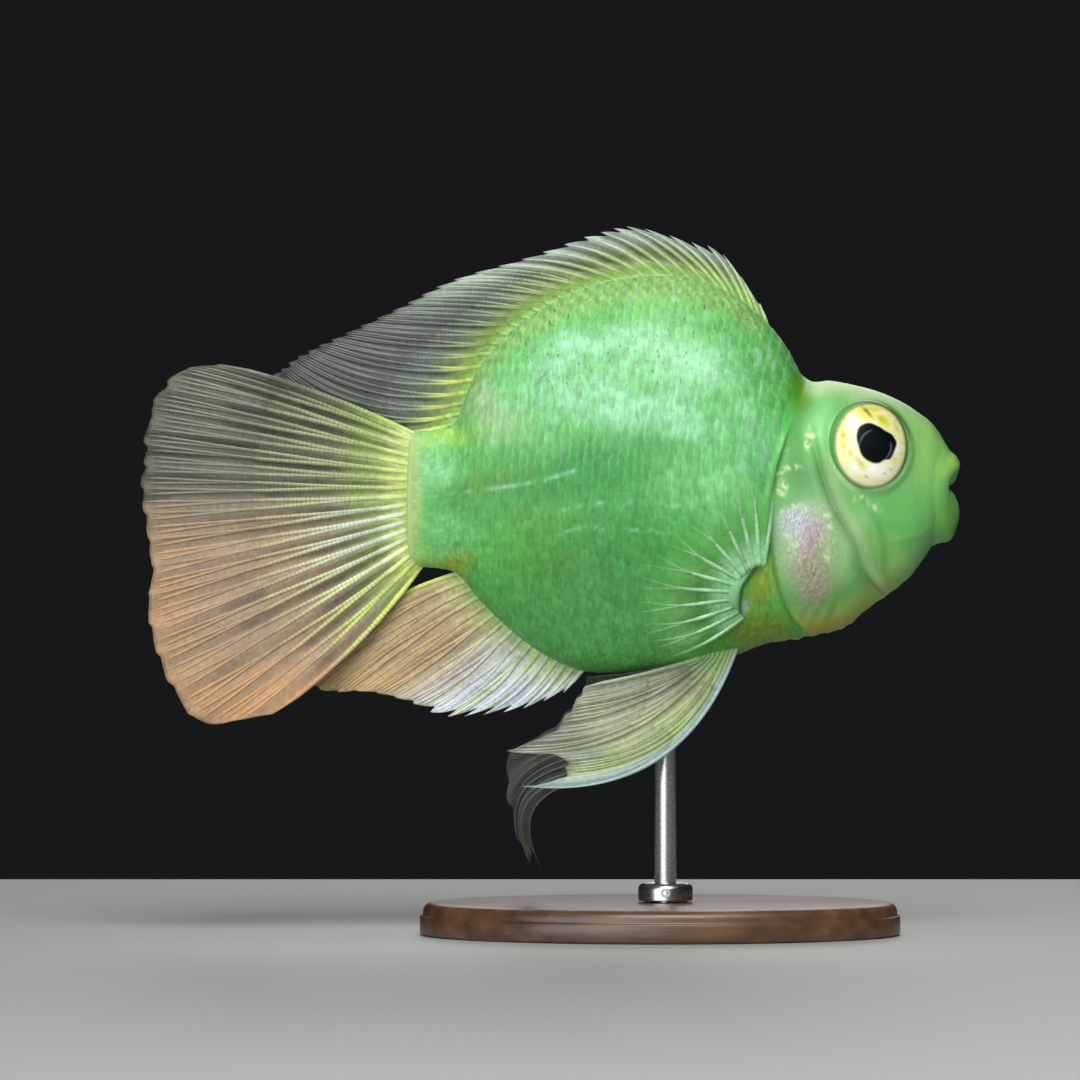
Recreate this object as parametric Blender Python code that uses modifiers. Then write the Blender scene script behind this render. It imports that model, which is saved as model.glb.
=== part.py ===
"""A blood parrot cichlid as a life-size museum model, held by one rod on a flat oval base.

The fish swims level with its head towards +X. Its right side faces -Y. Sizes are in millimetres and
are scaled to metres where a mesh is made. The origin is the centre of the base's underside.
"""

import math

import bmesh
import bpy
import numpy as np
from mathutils import Matrix, Vector

MM = 0.001

# Driving sizes
TOTAL_LENGTH = 150.0
SNOUT_X = 54.8
TAIL_TIP_X = SNOUT_X - TOTAL_LENGTH
AXIS_HEIGHT = 84.0
GAP = 0.3

# Outline of head and body without fins, as height above the body's axis at a place along it
BACK_LINE = [
    (-50.0, 8.0), (-44.9, 8.1), (-40.3, 8.4), (-37.2, 10.0), (-34.4, 17.4), (-29.3, 24.9),
    (-21.1, 31.3), (-11.0, 35.3), (-1.8, 36.8), (7.3, 35.9), (14.7, 32.2), (19.2, 28.2),
    (22.9, 23.6), (25.6, 18.9), (27.2, 17.6), (31.1, 17.5), (36.6, 16.5), (42.1, 14.6),
    (47.6, 11.4), (50.4, 8.9), (52.0, 6.2), (52.8, 3.6), (53.2, -2.4),
]
BELLY_LINE = [
    (-50.0, -16.3), (-44.9, -16.5), (-40.3, -16.7), (-37.2, -17.6), (-33.0, -22.7),
    (-27.5, -28.2), (-21.1, -32.8), (-14.7, -35.4), (-7.3, -35.7), (0.0, -34.9), (7.3, -34.2),
    (13.7, -32.6), (19.2, -30.5), (25.6, -29.6), (31.1, -28.7), (34.6, -27.2), (38.3, -24.0),
    (42.1, -21.3), (46.7, -17.2), (50.4, -11.6), (52.3, -7.6), (53.2, -2.4),
]
HALF_WIDTH = [
    (-50.0, 2.2), (-44.9, 2.9), (-40.0, 4.7), (-34.0, 7.6), (-26.0, 10.8), (-15.0, 13.8),
    (-4.0, 15.8), (8.0, 16.8), (18.0, 16.6), (26.0, 15.9), (34.0, 14.6), (41.0, 12.6),
    (47.0, 9.6), (50.9, 6.6), (52.6, 4.0), (53.2, 0.0),
]
# How square a cross-section is: 2 is an ellipse, less is more pointed
BACK_SQUARENESS = [(-50.0, 2.2), (-34.0, 1.9), (0.0, 1.8), (22.0, 1.9), (30.0, 2.2), (53.2, 2.4)]
BELLY_SQUARENESS = [(-50.0, 2.2), (-20.0, 1.9), (5.0, 2.1), (53.2, 2.2)]
WIDEST_DROP = 0.05

# Where cross-sections lie, as share of the rings and place along, closer where the outline turns
HEAD_RINGS = (29, 44, [(0.0, -50.0), (0.04, 14.0), (0.08, 17.0), (0.5, 33.0), (0.93, 52.0), (1.0, 53.2)])
TRUNK_RINGS = (
    31, 36, [(0.0, -50.0), (0.08, -41.0), (0.25, -31.0), (0.5, -4.0), (0.8, 20.0), (0.94, 30.0), (1.0, 53.2)]
)
TAIL_RINGS = (10, 32, [(0.0, -50.0), (0.2, -46.5), (0.8, -35.0), (1.0, 53.2)])

# Lines that part the flesh, as place along the body at a height
GILL_LINE = [
    (45.0, 29.0), (17.6, 26.4), (9.3, 23.4), (0.2, 20.5), (-10.8, 19.6), (-19.0, 20.9),
    (-25.5, 23.8), (-30.0, 27.8), (-45.0, 36.0),
]
PEDUNCLE_X = -37.0
CAUDAL_BASE_X = -44.7
CAUDAL_BASE_BOW = 0.9
PEDUNCLE_MID_Z = -4.2
PEDUNCLE_HALF_DEPTH = 12.3

# Eye: its centre seen from the side, half axes, and how it is turned from straight out
EYE_X, EYE_Z = 38.1, 5.7
EYE_HALF_LENGTH, EYE_HALF_HEIGHT = 7.7, 8.4
EYE_BULGE, EYE_DEPTH, EYE_SINK = 3.5, 6.0, 1.2
EYE_YAW, EYE_TILT = math.radians(21), math.radians(11)

# Relief of the head: height of the gill cover, the cheek, the orbit's edge and the crease between
OPERCLE_RISE, CHEEK_RISE, ORBIT_RISE, CREASE_DEPTH = 0.9, 0.6, 0.6, 0.45
# The crease in front of the gill cover, as place along the body at a height
CREASE_LINE = [
    (-30.0, 50.0), (-24.0, 44.0), (-20.5, 39.4), (-16.8, 36.3), (-11.0, 34.1), (-5.1, 30.8),
    (0.0, 29.0), (6.0, 27.6), (18.0, 27.0),
]
RELIEF_LOW, RELIEF_HIGH = (-30.0, -24.0), (3.0, 10.0)
CHEEK_FADE = (42.0, 49.0)
# Lips, slit and nostrils as centre and half axes
UPPER_LIP = ((48.8, 0.0, 1.4), (6.0, 5.6, 3.5))
LOWER_LIP = ((48.6, 0.0, -7.5), (6.1, 5.8, 4.9))
MOUTH_SLIT = ((54.2, 0.0, -2.2), (3.8, 4.8, 0.6))
NOSTRIL_X, NOSTRIL_Z, NOSTRIL_RADIUS = 48.4, 6.0, 0.75
# Blocks that part the flesh reach this far past it
BLOCK_FRONT, BLOCK_HEIGHT, BLOCK_HALF_WIDTH = 80.0, 45.0, 60.0

# Fins: share of the way along the fin, root, tip, and how far the ray arches, as a share of its length
DORSAL_RAYS = 27
DORSAL = [
    (0.0, (19.4, 28.0), (18.3, 31.6), 0.0), (0.08, (16.6, 30.8), (11.4, 40.7), 0.05),
    (0.16, (13.4, 33.0), (5.5, 42.9), 0.06), (0.25, (9.4, 35.1), (-4.4, 45.6), 0.07),
    (0.36, (1.4, 36.7), (-11.5, 44.5), 0.07), (0.5, (-8.2, 36.0), (-24.7, 39.9), 0.06),
    (0.62, (-15.8, 33.7), (-37.5, 36.1), 0.05), (0.75, (-24.4, 29.2), (-48.5, 30.6), 0.02),
    (0.86, (-31.2, 22.8), (-59.6, 25.4), -0.04), (0.94, (-35.2, 15.4), (-66.6, 22.0), -0.09),
    (1.0, (-37.6, 9.9), (-71.1, 18.8), -0.14),
]
ANAL_RAYS = 16
ANAL = [
    (0.0, (-14.2, -35.5), (-17.6, -39.6), 0.0), (0.12, (-17.2, -34.6), (-24.3, -42.3), -0.05),
    (0.3, (-21.4, -32.6), (-34.0, -43.8), -0.07), (0.42, (-24.4, -30.8), (-40.0, -44.0), -0.06),
    (0.56, (-27.9, -27.8), (-46.5, -41.2), -0.04), (0.7, (-31.2, -24.5), (-53.5, -39.6), -0.01),
    (0.85, (-34.3, -21.0), (-61.5, -39.4), 0.03), (1.0, (-36.9, -17.8), (-68.5, -36.0), 0.06),
]
CAUDAL_RAYS = 18
CAUDAL = [
    (0.0, (-44.8, 7.5), (-81.0, 20.5), 0.03), (0.08, (-45.0, 5.8), (-88.0, 19.2), 0.02),
    (0.16, (-45.2, 3.9), (-92.2, 14.8), 0.01), (0.28, (-45.4, 1.0), (-94.6, 7.2), 0.0),
    (0.42, (-45.6, -2.4), (TAIL_TIP_X, -2.4), 0.0), (0.56, (-45.6, -6.0), (-93.8, -13.8), 0.0),
    (0.7, (-45.4, -9.4), (-93.8, -26.4), 0.0), (0.82, (-45.2, -12.3), (-90.2, -37.4), -0.01),
    (0.91, (-45.0, -14.3), (-84.2, -45.2), -0.02), (1.0, (-44.8, -16.0), (-71.0, -43.6), -0.03),
]
PECTORAL_RAYS = 12
PECTORAL = [
    (0.0, (18.6, -15.0), (20.2, 0.6), 0.02), (0.12, (17.2, -14.8), (14.8, 2.6), 0.0),
    (0.3, (14.6, -16.2), (7.4, -4.0), 0.0), (0.48, (12.6, -18.4), (-0.6, -11.8), -0.02),
    (0.66, (11.6, -21.2), (-5.4, -20.2), -0.03), (0.84, (11.8, -24.4), (-4.4, -28.6), -0.05),
    (1.0, (13.4, -26.6), (0.8, -33.0), -0.06),
]
PECTORAL_PAD = ((14.6, -20.6), (2.3, 2.2, 6.8), math.radians(22))
PECTORAL_SPREAD, PECTORAL_CUP, PECTORAL_OFF_SKIN = 0.52, 0.14, 0.8
PELVIC_RAYS = 9
PELVIC = [
    (0.0, (13.6, -31.9), (-25.3, -56.4), -0.195), (0.13, (12.8, -32.2), (-18.8, -55.0), -0.175),
    (0.26, (12.0, -32.4), (-17.6, -52.8), -0.17), (0.38, (11.2, -32.6), (-19.6, -50.8), -0.15),
    (0.5, (10.4, -32.8), (-28.2, -50.0), -0.13), (0.62, (9.6, -32.9), (-21.4, -47.2), -0.11),
    (0.75, (8.8, -33.0), (-17.6, -43.6), -0.08), (0.88, (8.0, -33.1), (-15.4, -40.6), -0.05),
    (1.0, (7.2, -33.2), (-14.0, -38.4), -0.02),
]
PELVIC_ROOT_Y, PELVIC_SPLAY = 5.0, 0.13
PELVIC_INWARD = (0.2, 0.98)
# The left pelvic fin's front rays hook down into a trailing thread, by the last share of the length
PELVIC_TRAILING = [
    (0.0, (13.6, -31.9), (-21.8, -72.5), -0.09, 0.21), (0.13, (12.8, -32.2), (-23.8, -71.8), -0.075, 0.21),
    (0.26, (12.0, -32.4), (-26.6, -66.0), -0.06, 0.15), (0.38, (11.2, -32.6), (-28.4, -59.0), -0.06, 0.085),
    (0.5, (10.4, -32.8), (-28.0, -51.4), -0.08, 0.02), (0.62, (9.6, -32.9), (-21.4, -47.2), -0.09, 0.0),
    (0.75, (8.8, -33.0), (-17.6, -43.4), -0.08, 0.0), (0.88, (8.0, -33.1), (-15.2, -40.2), -0.07, 0.0),
    (1.0, (7.2, -33.2), (-13.8, -36.9), -0.05, 0.0),
]
# s**4 * (1 - s) is greatest at 0.8, where this makes it 1
HOOK_SCALE = 12.2

# How far the fins lean out of the middle plane. The rear rays of the dorsal and anal fins lean to the
# left, more so away from the root, and so pass the tail fin, which leans to the right.
REAR_SWAY, REAR_SWAY_REACH = 2.2, 10.0
CAUDAL_SWAY, CAUDAL_SWAY_AT, CAUDAL_WAVE, CAUDAL_WAVE_LENGTH = 2.6, 24.0, 1.2, 16.0
PELVIC_WAVE, PELVIC_WAVE_LENGTH, PELVIC_WAVE_AT = 0.9, 4.2, 50.0

# Fin thickness: the membrane, the part of a ray's ridge lost towards its tip, and the fleshy foot
MEMBRANE = 0.55
RIDGE_LOSS = 0.7
FOOT_LENGTH = 3.5
# How far a root runs on under the skin, and half a ridge's width as a share of the space between rays
FIN_SINK = 1.6
RIDGE_FOOT = 0.24

# Stand
BASE_LENGTH, BASE_WIDTH, BASE_THICKNESS = 88.0, 60.0, 6.0
BASE_EDGE = 1.4
ROD_X, ROD_RADIUS, ROD_SOCKET = 1.0, 2.0, 3.0
ROD_TOP_INSIDE = 3.0
COLLAR_RADIUS, COLLAR_HEIGHT, COLLAR_EDGE = 5.0, 3.2, 0.8

# Colours as linear red, green and blue, roughness and metallic
FLESH_GREEN = ((0.13, 0.58, 0.15), 0.35, 0.0)
FIN_OLIVE = ((0.42, 0.48, 0.20), 0.4, 0.0)
FIN_GREEN = ((0.30, 0.66, 0.30), 0.4, 0.0)
FIN_BUFF = ((0.52, 0.40, 0.26), 0.4, 0.0)
FIN_PALE = ((0.60, 0.64, 0.50), 0.4, 0.0)
EYE_YELLOW = ((0.85, 0.80, 0.30), 0.1, 0.0)
WALNUT = ((0.10, 0.05, 0.03), 0.45, 0.0)
STEEL = ((0.55, 0.55, 0.56), 0.3, 1.0)


def smooth(knots, at):
    """The value at a place, on a smooth line through knots of (place, value)."""
    if at <= knots[0][0]:
        return knots[0][1]
    if at >= knots[-1][0]:
        return knots[-1][1]
    gaps = [b[0] - a[0] for a, b in zip(knots, knots[1:])]
    slopes = [(b[1] - a[1]) / gap for a, b, gap in zip(knots, knots[1:], gaps)]
    i = next(k for k in range(len(gaps)) if at <= knots[k + 1][0])

    def tangent(k):
        if k in (0, len(knots) - 1):
            return slopes[0] if k == 0 else slopes[-1]
        return (slopes[k - 1] * gaps[k] + slopes[k] * gaps[k - 1]) / (gaps[k - 1] + gaps[k])

    t = (at - knots[i][0]) / gaps[i]
    return (
        knots[i][1] * (1 + 2 * t) * (1 - t) ** 2
        + tangent(i) * gaps[i] * t * (1 - t) ** 2
        + knots[i + 1][1] * t * t * (3 - 2 * t)
        + tangent(i + 1) * gaps[i] * t * t * (t - 1)
    )


def section(x):
    """The cross-section at a place: top, widest height, bottom, half width and both squarenesses."""
    top, bottom = smooth(BACK_LINE, x), smooth(BELLY_LINE, x)
    widest = (top + bottom) / 2 - WIDEST_DROP * (top - bottom)
    return (
        top, widest, bottom, smooth(HALF_WIDTH, x),
        smooth(BACK_SQUARENESS, x), smooth(BELLY_SQUARENESS, x),
    )


def body_point(x, angle):
    """A point of the skin at a place and an angle round the section, 0 at the back."""
    top, widest, bottom, half_width, back, belly = section(x)
    up, out = math.cos(angle), math.sin(angle)
    power = 2 / (back if up > 0 else belly)
    reach = top - widest if up > 0 else widest - bottom
    z = widest + math.copysign(abs(up) ** power, up) * reach
    y = math.copysign(abs(out) ** power, out) * half_width
    return Vector((x, y, z))


def flank(x, z):
    """Half width of the body at a place and height."""
    top, widest, bottom, half_width, back, belly = section(x)
    power, reach = (back, top - widest) if z > widest else (belly, widest - bottom)
    share = min(abs(z - widest) / reach, 1.0)
    return half_width * (1 - share**power) ** (1 / power)


def material(name, look):
    colour, roughness, metallic = look
    made = bpy.data.materials.new(name)
    made.use_nodes = True
    shader = made.node_tree.nodes["Principled BSDF"]
    shader.inputs["Base Color"].default_value = (*colour, 1)
    shader.inputs["Roughness"].default_value = roughness
    shader.inputs["Metallic"].default_value = metallic
    return made


def add_object(name, mesh, collection):
    made = bpy.data.objects.new(name, mesh)
    collection.objects.link(made)
    return made


def from_bmesh(name, bm, collection):
    """An object in metres from a closed or flat bmesh in millimetres, with its faces outward."""
    bm.normal_update()
    bmesh.ops.recalc_face_normals(bm, faces=bm.faces)
    bmesh.ops.scale(bm, vec=(MM, MM, MM), verts=bm.verts)
    mesh = bpy.data.meshes.new(name)
    bm.to_mesh(mesh)
    bm.free()
    return add_object(name, mesh, collection)


def apply_modifiers(obj):
    bpy.context.view_layer.update()
    graph = bpy.context.evaluated_depsgraph_get()
    mesh = bpy.data.meshes.new_from_object(obj.evaluated_get(graph))
    obj.modifiers.clear()
    obj.data = mesh
    keep_largest(obj)


def keep_largest(obj):
    """Drops every closed surface of the mesh but the one that holds the most."""
    bm = bmesh.new()
    bm.from_mesh(obj.data)
    left, bodies = set(bm.faces), []
    while left:
        found, edge_of_search = set(), [left.pop()]
        while edge_of_search:
            face = edge_of_search.pop()
            found.add(face)
            near = {f for e in face.edges for f in e.link_faces} & left
            left -= near
            edge_of_search.extend(near)
        bodies.append(found)

    def held(faces):
        return sum(f.calc_area() * f.normal.dot(f.calc_center_median()) for f in faces)

    kept = max(bodies, key=held)
    bmesh.ops.delete(bm, geom=[f for f in bm.faces if f not in kept], context="FACES")
    bmesh.ops.triangulate(bm, faces=bm.faces)
    bm.to_mesh(obj.data)
    bm.free()


def combine(obj, pieces, operation):
    """Joins, cuts or keeps what is common with helper objects, which are then removed."""
    helpers = bpy.data.collections.new(obj.name + "_helpers")
    bpy.context.scene.collection.children.link(helpers)
    for piece in pieces:
        for user in list(piece.users_collection):
            user.objects.unlink(piece)
        helpers.objects.link(piece)
    boolean = obj.modifiers.new(operation.lower(), "BOOLEAN")
    boolean.operation = operation
    boolean.solver = "EXACT"
    boolean.operand_type = "COLLECTION"
    boolean.collection = helpers
    apply_modifiers(obj)
    for piece in pieces:
        bpy.data.objects.remove(piece)
    bpy.data.collections.remove(helpers)


def finish(obj, look):
    obj.data.materials.clear()
    obj.data.materials.append(material(obj.name, look))
    for polygon in obj.data.polygons:
        polygon.material_index = 0
    obj.data.shade_smooth()
    obj.data.set_sharp_from_angle(angle=math.radians(40))
    obj.location = (0, 0, AXIS_HEIGHT * MM)


def ramp(value, low, high):
    """0 below low, 1 above high and smooth between."""
    t = max(0.0, min(1.0, (value - low) / (high - low)))
    return t * t * (3 - 2 * t)


def head_relief(x, z):
    """How far the head's skin stands out from the plain form at a place and height."""
    crease_width, orbit_width = 0.9, 0.22
    gill = smooth(sorted(GILL_LINE), z)
    ahead = x - smooth(CREASE_LINE, z)
    on_flank = ramp(z, *RELIEF_LOW) * (1 - ramp(z, *RELIEF_HIGH))
    opercle = OPERCLE_RISE * ramp(x, gill - 3.0, gill - 1.5) * (1 - ramp(ahead, -1.6, 0.0))
    cheek = CHEEK_RISE * ramp(ahead, 0.0, 2.4) * (1 - ramp(x, *CHEEK_FADE))
    crease = CREASE_DEPTH * math.exp(-(ahead / crease_width) ** 2)
    from_eye = math.hypot((x - EYE_X) / EYE_HALF_LENGTH, (z - EYE_Z) / EYE_HALF_HEIGHT)
    orbit = ORBIT_RISE * math.exp(-((from_eye - 0.95) / orbit_width) ** 2)
    return on_flank * (opercle + cheek - crease) * (1 - orbit / ORBIT_RISE) + orbit


def body_blank(name, collection, rings, grow=0.0, relief=False):
    """Head and body as one closed form, a sphere whose rings take the cross-sections."""
    ring_count, ring_points, places = rings
    bm = bmesh.new()
    bmesh.ops.create_uvsphere(bm, u_segments=ring_points, v_segments=ring_count, radius=1)
    for vertex in bm.verts:
        share = math.acos(max(-1.0, min(1.0, -vertex.co.z))) / math.pi
        x = float(np.interp(share, *zip(*places)))
        vertex.co = body_point(x, math.atan2(-vertex.co.y, vertex.co.x))
    bm.normal_update()
    for vertex in bm.verts:
        rise = head_relief(vertex.co.x, vertex.co.z) if relief else 0.0
        vertex.co += vertex.normal * (grow + rise)
    return from_bmesh(name, bm, collection)


def ellipsoid(name, collection, centre, half_axes, segments=20, rings=12, lean=0.0):
    """An ellipsoid, leaning in the side view by an angle."""
    bm = bmesh.new()
    bmesh.ops.create_uvsphere(bm, u_segments=segments, v_segments=rings, radius=1)
    shape = Matrix.Rotation(lean, 4, "Y") @ Matrix.Diagonal((*half_axes, 1))
    bmesh.ops.transform(bm, matrix=Matrix.Translation(centre) @ shape, verts=bm.verts)
    return from_bmesh(name, bm, collection)


def prism(name, collection, outline):
    """A block with a side outline of (x, z) points, right across the fish."""
    bm = bmesh.new()
    face = bm.faces.new([bm.verts.new((x, -BLOCK_HALF_WIDTH, z)) for x, z in outline])
    made = bmesh.ops.extrude_face_region(bm, geom=[face])
    moved = [v for v in made["geom"] if isinstance(v, bmesh.types.BMVert)]
    bmesh.ops.translate(bm, vec=(0, 2 * BLOCK_HALF_WIDTH, 0), verts=moved)
    return from_bmesh(name, bm, collection)


def gill_outline(shift):
    """The gill opening's line from top to bottom, moved along the body."""
    steps = 18
    heights = [BLOCK_HEIGHT * (1 - 2 * i / steps) for i in range(steps + 1)]
    knots = sorted(GILL_LINE)
    return [(smooth(knots, z) + shift, z) for z in heights]


def in_front_of(x):
    """The two corners that close a block's outline at the front, below and above the fish."""
    return [(x, -BLOCK_HEIGHT), (x, BLOCK_HEIGHT)]


def caudal_outline(shift):
    """The bowed rear end of the tail's fleshy base, from bottom to top."""
    steps, past = 10, 4.0
    points = []
    for i in range(steps + 1):
        share = 2 * i / steps - 1
        z = PEDUNCLE_MID_Z + share * (PEDUNCLE_HALF_DEPTH + past)
        points.append((CAUDAL_BASE_X - CAUDAL_BASE_BOW * (1 - share * share) + shift, z))
    return points


def eye_axes(side):
    """Where the eye sits and which way it looks: centre, forward axis, up axis and outward axis."""
    out = Vector((
        math.sin(EYE_YAW) * math.cos(EYE_TILT),
        side * math.cos(EYE_YAW) * math.cos(EYE_TILT),
        math.sin(EYE_TILT),
    ))
    forward = Vector((0, 0, 1)).cross(out).normalized()
    if forward.x < 0:
        forward.negate()
    up = out.cross(forward) if side < 0 else forward.cross(out)
    centre = Vector((EYE_X, side * flank(EYE_X, EYE_Z), EYE_Z)) - out * EYE_SINK
    return centre, forward, up, out


def eyeball(name, collection, side, grow=0.0):
    """An eyeball with a low front dome and a deeper back."""
    centre, forward, up, out = eye_axes(side)
    bm = bmesh.new()
    bmesh.ops.create_uvsphere(bm, u_segments=22, v_segments=10, radius=1)
    for vertex in bm.verts:
        depth = EYE_BULGE if vertex.co.z > 0 else EYE_DEPTH
        vertex.co = (
            centre
            + forward * vertex.co.x * (EYE_HALF_LENGTH + grow)
            + up * vertex.co.y * (EYE_HALF_HEIGHT + grow)
            + out * vertex.co.z * (depth + grow)
        )
    return from_bmesh(name, bm, collection)


def make_head(collection):
    head = body_blank("head", collection, HEAD_RINGS, relief=True)
    lips = [
        ellipsoid("upper_lip", collection, *UPPER_LIP, segments=20, rings=10),
        ellipsoid("lower_lip", collection, *LOWER_LIP, segments=20, rings=10),
    ]
    combine(head, lips, "UNION")
    front = gill_outline(GAP / 2) + in_front_of(BLOCK_FRONT)
    combine(head, [prism("front_half", collection, front)], "INTERSECT")
    cut = [ellipsoid("slit", collection, *MOUTH_SLIT, segments=20, rings=8)]
    for side in (-1, 1):
        cut.append(eyeball("socket", collection, side, grow=GAP))
        nostril = (NOSTRIL_X, side * flank(NOSTRIL_X, NOSTRIL_Z), NOSTRIL_Z)
        size = (NOSTRIL_RADIUS,) * 3
        cut.append(ellipsoid("nostril", collection, nostril, size, segments=10, rings=6))
    combine(head, cut, "DIFFERENCE")
    finish(head, FLESH_GREEN)


def make_trunk(collection):
    trunk = body_blank("trunk", collection, TRUNK_RINGS)
    behind = gill_outline(-GAP / 2) + in_front_of(PEDUNCLE_X + GAP / 2)
    combine(trunk, [prism("middle", collection, behind)], "INTERSECT")
    belly = smooth(BELLY_LINE, ROD_X)
    bm = bmesh.new()
    bmesh.ops.create_cone(
        bm, cap_ends=True, segments=20, radius1=ROD_RADIUS + GAP, radius2=ROD_RADIUS + GAP,
        depth=2 * (ROD_TOP_INSIDE + GAP),
        matrix=Matrix.Translation((ROD_X, 0, belly)),
    )
    combine(trunk, [from_bmesh("rod_hole", bm, collection)], "DIFFERENCE")
    finish(trunk, FLESH_GREEN)


def make_peduncle(collection):
    peduncle = body_blank("caudal_peduncle", collection, TAIL_RINGS)
    outline = caudal_outline(0) + in_front_of(PEDUNCLE_X - GAP / 2)[::-1]
    combine(peduncle, [prism("rear", collection, outline)], "INTERSECT")
    finish(peduncle, FLESH_GREEN)


def make_eyes(collection):
    for side, name in ((-1, "eye_right"), (1, "eye_left")):
        finish(eyeball(name, collection, side), EYE_YELLOW)


def ray_row(rows, along):
    """Root, tip, arch and hook of the ray at a share of the way along a fin."""
    def part(pick):
        return smooth([(row[0], pick(row)) for row in rows], along)

    root = Vector((part(lambda r: r[1][0]), part(lambda r: r[1][1])))
    tip = Vector((part(lambda r: r[2][0]), part(lambda r: r[2][1])))
    return root, tip, part(lambda r: r[3]), part(lambda r: r[4] if len(r) > 4 else 0.0)


def ray_point(rows, along, out, inward):
    """A point in the side view on a ray, with 0 a little under the skin and 1 at the ray's tip.

    inward is the way a root runs on under the skin, or None where it follows the ray.
    """
    root, tip, arch, hook = ray_row(rows, along)
    ray = tip - root
    start = -FIN_SINK / ray.length
    share = start + (1 - start) * out
    if share < 0 and inward:
        return root - Vector(inward) * share * ray.length, 0.0
    aside = arch * 4 * share * (1 - share) + hook * HOOK_SCALE * share**4 * (1 - share)
    return root + ray * share + Vector((ray.y, -ray.x)) * aside, max(share, 0.0) * ray.length


def fin_sheet(name, collection, rows, rays, steps, place, ridge, notch, flare, inward=None):
    """A fin membrane with its rays raised in both faces.

    place turns a side-view point, its distance from the root and its share along the fin into a
    point in space. ridge is the thickness of a ray at its root, notch how far the membrane's edge
    lies in from the ray tips, and flare the thickness of the fleshy foot of the fin.
    """
    columns = []
    for i in range(rays):
        for offset in (-RIDGE_FOOT, 0.0, RIDGE_FOOT):
            along = (i + offset) / (rays - 1)
            if 0 <= along <= 1:
                columns.append((along, offset == 0.0))
    thickest = max(ridge, flare)
    bm = bmesh.new()
    bmesh.ops.create_grid(bm, x_segments=len(columns) - 1, y_segments=steps, size=1)
    weights = {}
    for vertex in bm.verts:
        along, on_ray = columns[round((vertex.co.x + 1) / 2 * (len(columns) - 1))]
        out = (vertex.co.y + 1) / 2
        reach = out * (1.0 if on_ray else 1 - notch(along))
        spot, distance = ray_point(rows, along, reach, inward)
        vertex.co = place(spot, distance, along, out)
        thick = MEMBRANE + (ridge - MEMBRANE) * (1 - RIDGE_LOSS * out) * on_ray
        foot = max(0.0, 1 - distance / FOOT_LENGTH) ** 2
        thick = max(thick, MEMBRANE + (flare - MEMBRANE) * foot)
        weights[vertex.index] = min(1.0, thick / thickest)
    bmesh.ops.triangulate(bm, faces=bm.faces, quad_method="FIXED")
    sheet = from_bmesh(name, bm, collection)
    group = sheet.vertex_groups.new(name="thickness")
    for index, weight in weights.items():
        group.add([index], weight, "REPLACE")
    solid = sheet.modifiers.new("thickness", "SOLIDIFY")
    solid.thickness = thickest * MM
    solid.offset = 0.0
    solid.vertex_group = "thickness"
    solid.thickness_vertex_group = 0.0
    apply_modifiers(sheet)
    return sheet


def clear_of_body(fin, collection, head_too=False):
    """Cuts the fin's root along the skin, leaving the gap that touching parts keep."""
    combine(fin, [body_blank("body_gap", collection, TRUNK_RINGS, grow=GAP)], "DIFFERENCE")
    if head_too:
        head = body_blank("head_gap", collection, HEAD_RINGS, grow=GAP, relief=True)
        front = gill_outline(-GAP) + in_front_of(BLOCK_FRONT)
        combine(head, [prism("front_half", collection, front)], "INTERSECT")
        combine(fin, [head], "DIFFERENCE")


def edge_notch(along):
    """How far the membrane's edge lies in from the ray tips, less towards the tail."""
    return 0.1 - 0.06 * along


def slight_notch(along):
    return 0.02


def median_place(sway):
    """Places a fin of the middle plane, bent to one side by sway(along, distance)."""
    return lambda spot, distance, along, out: Vector((spot.x, sway(along, distance), spot.y))


def rear_sway(along, distance):
    """How far a ray of the dorsal or anal fin leans to the left, most at the fin's rear."""
    return REAR_SWAY * along**2 * (1 - math.exp(-distance / REAR_SWAY_REACH))


def make_dorsal(collection):
    fin = fin_sheet(
        "dorsal_fin", collection, DORSAL, DORSAL_RAYS, 5, median_place(rear_sway),
        ridge=1.2, notch=edge_notch, flare=2.2,
    )
    clear_of_body(fin, collection)
    finish(fin, FIN_OLIVE)


def make_anal(collection):
    fin = fin_sheet(
        "anal_fin", collection, ANAL, ANAL_RAYS, 5, median_place(rear_sway),
        ridge=1.2, notch=edge_notch, flare=2.2,
    )
    clear_of_body(fin, collection)
    finish(fin, FIN_PALE)


def make_caudal(collection):
    def sway(along, distance):
        lean = CAUDAL_SWAY * abs(2 * along - 1) ** 1.5 * min(distance / CAUDAL_SWAY_AT, 1.2) ** 2
        return -lean - CAUDAL_WAVE * math.sin(distance / CAUDAL_WAVE_LENGTH)

    fin = fin_sheet(
        "caudal_fin", collection, CAUDAL, CAUDAL_RAYS, 6, median_place(sway),
        ridge=1.5, notch=slight_notch, flare=3.6,
    )
    outline = caudal_outline(-GAP) + in_front_of(PEDUNCLE_X)[::-1]
    combine(fin, [prism("tail_base_gap", collection, outline)], "DIFFERENCE")
    finish(fin, FIN_BUFF)


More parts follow.
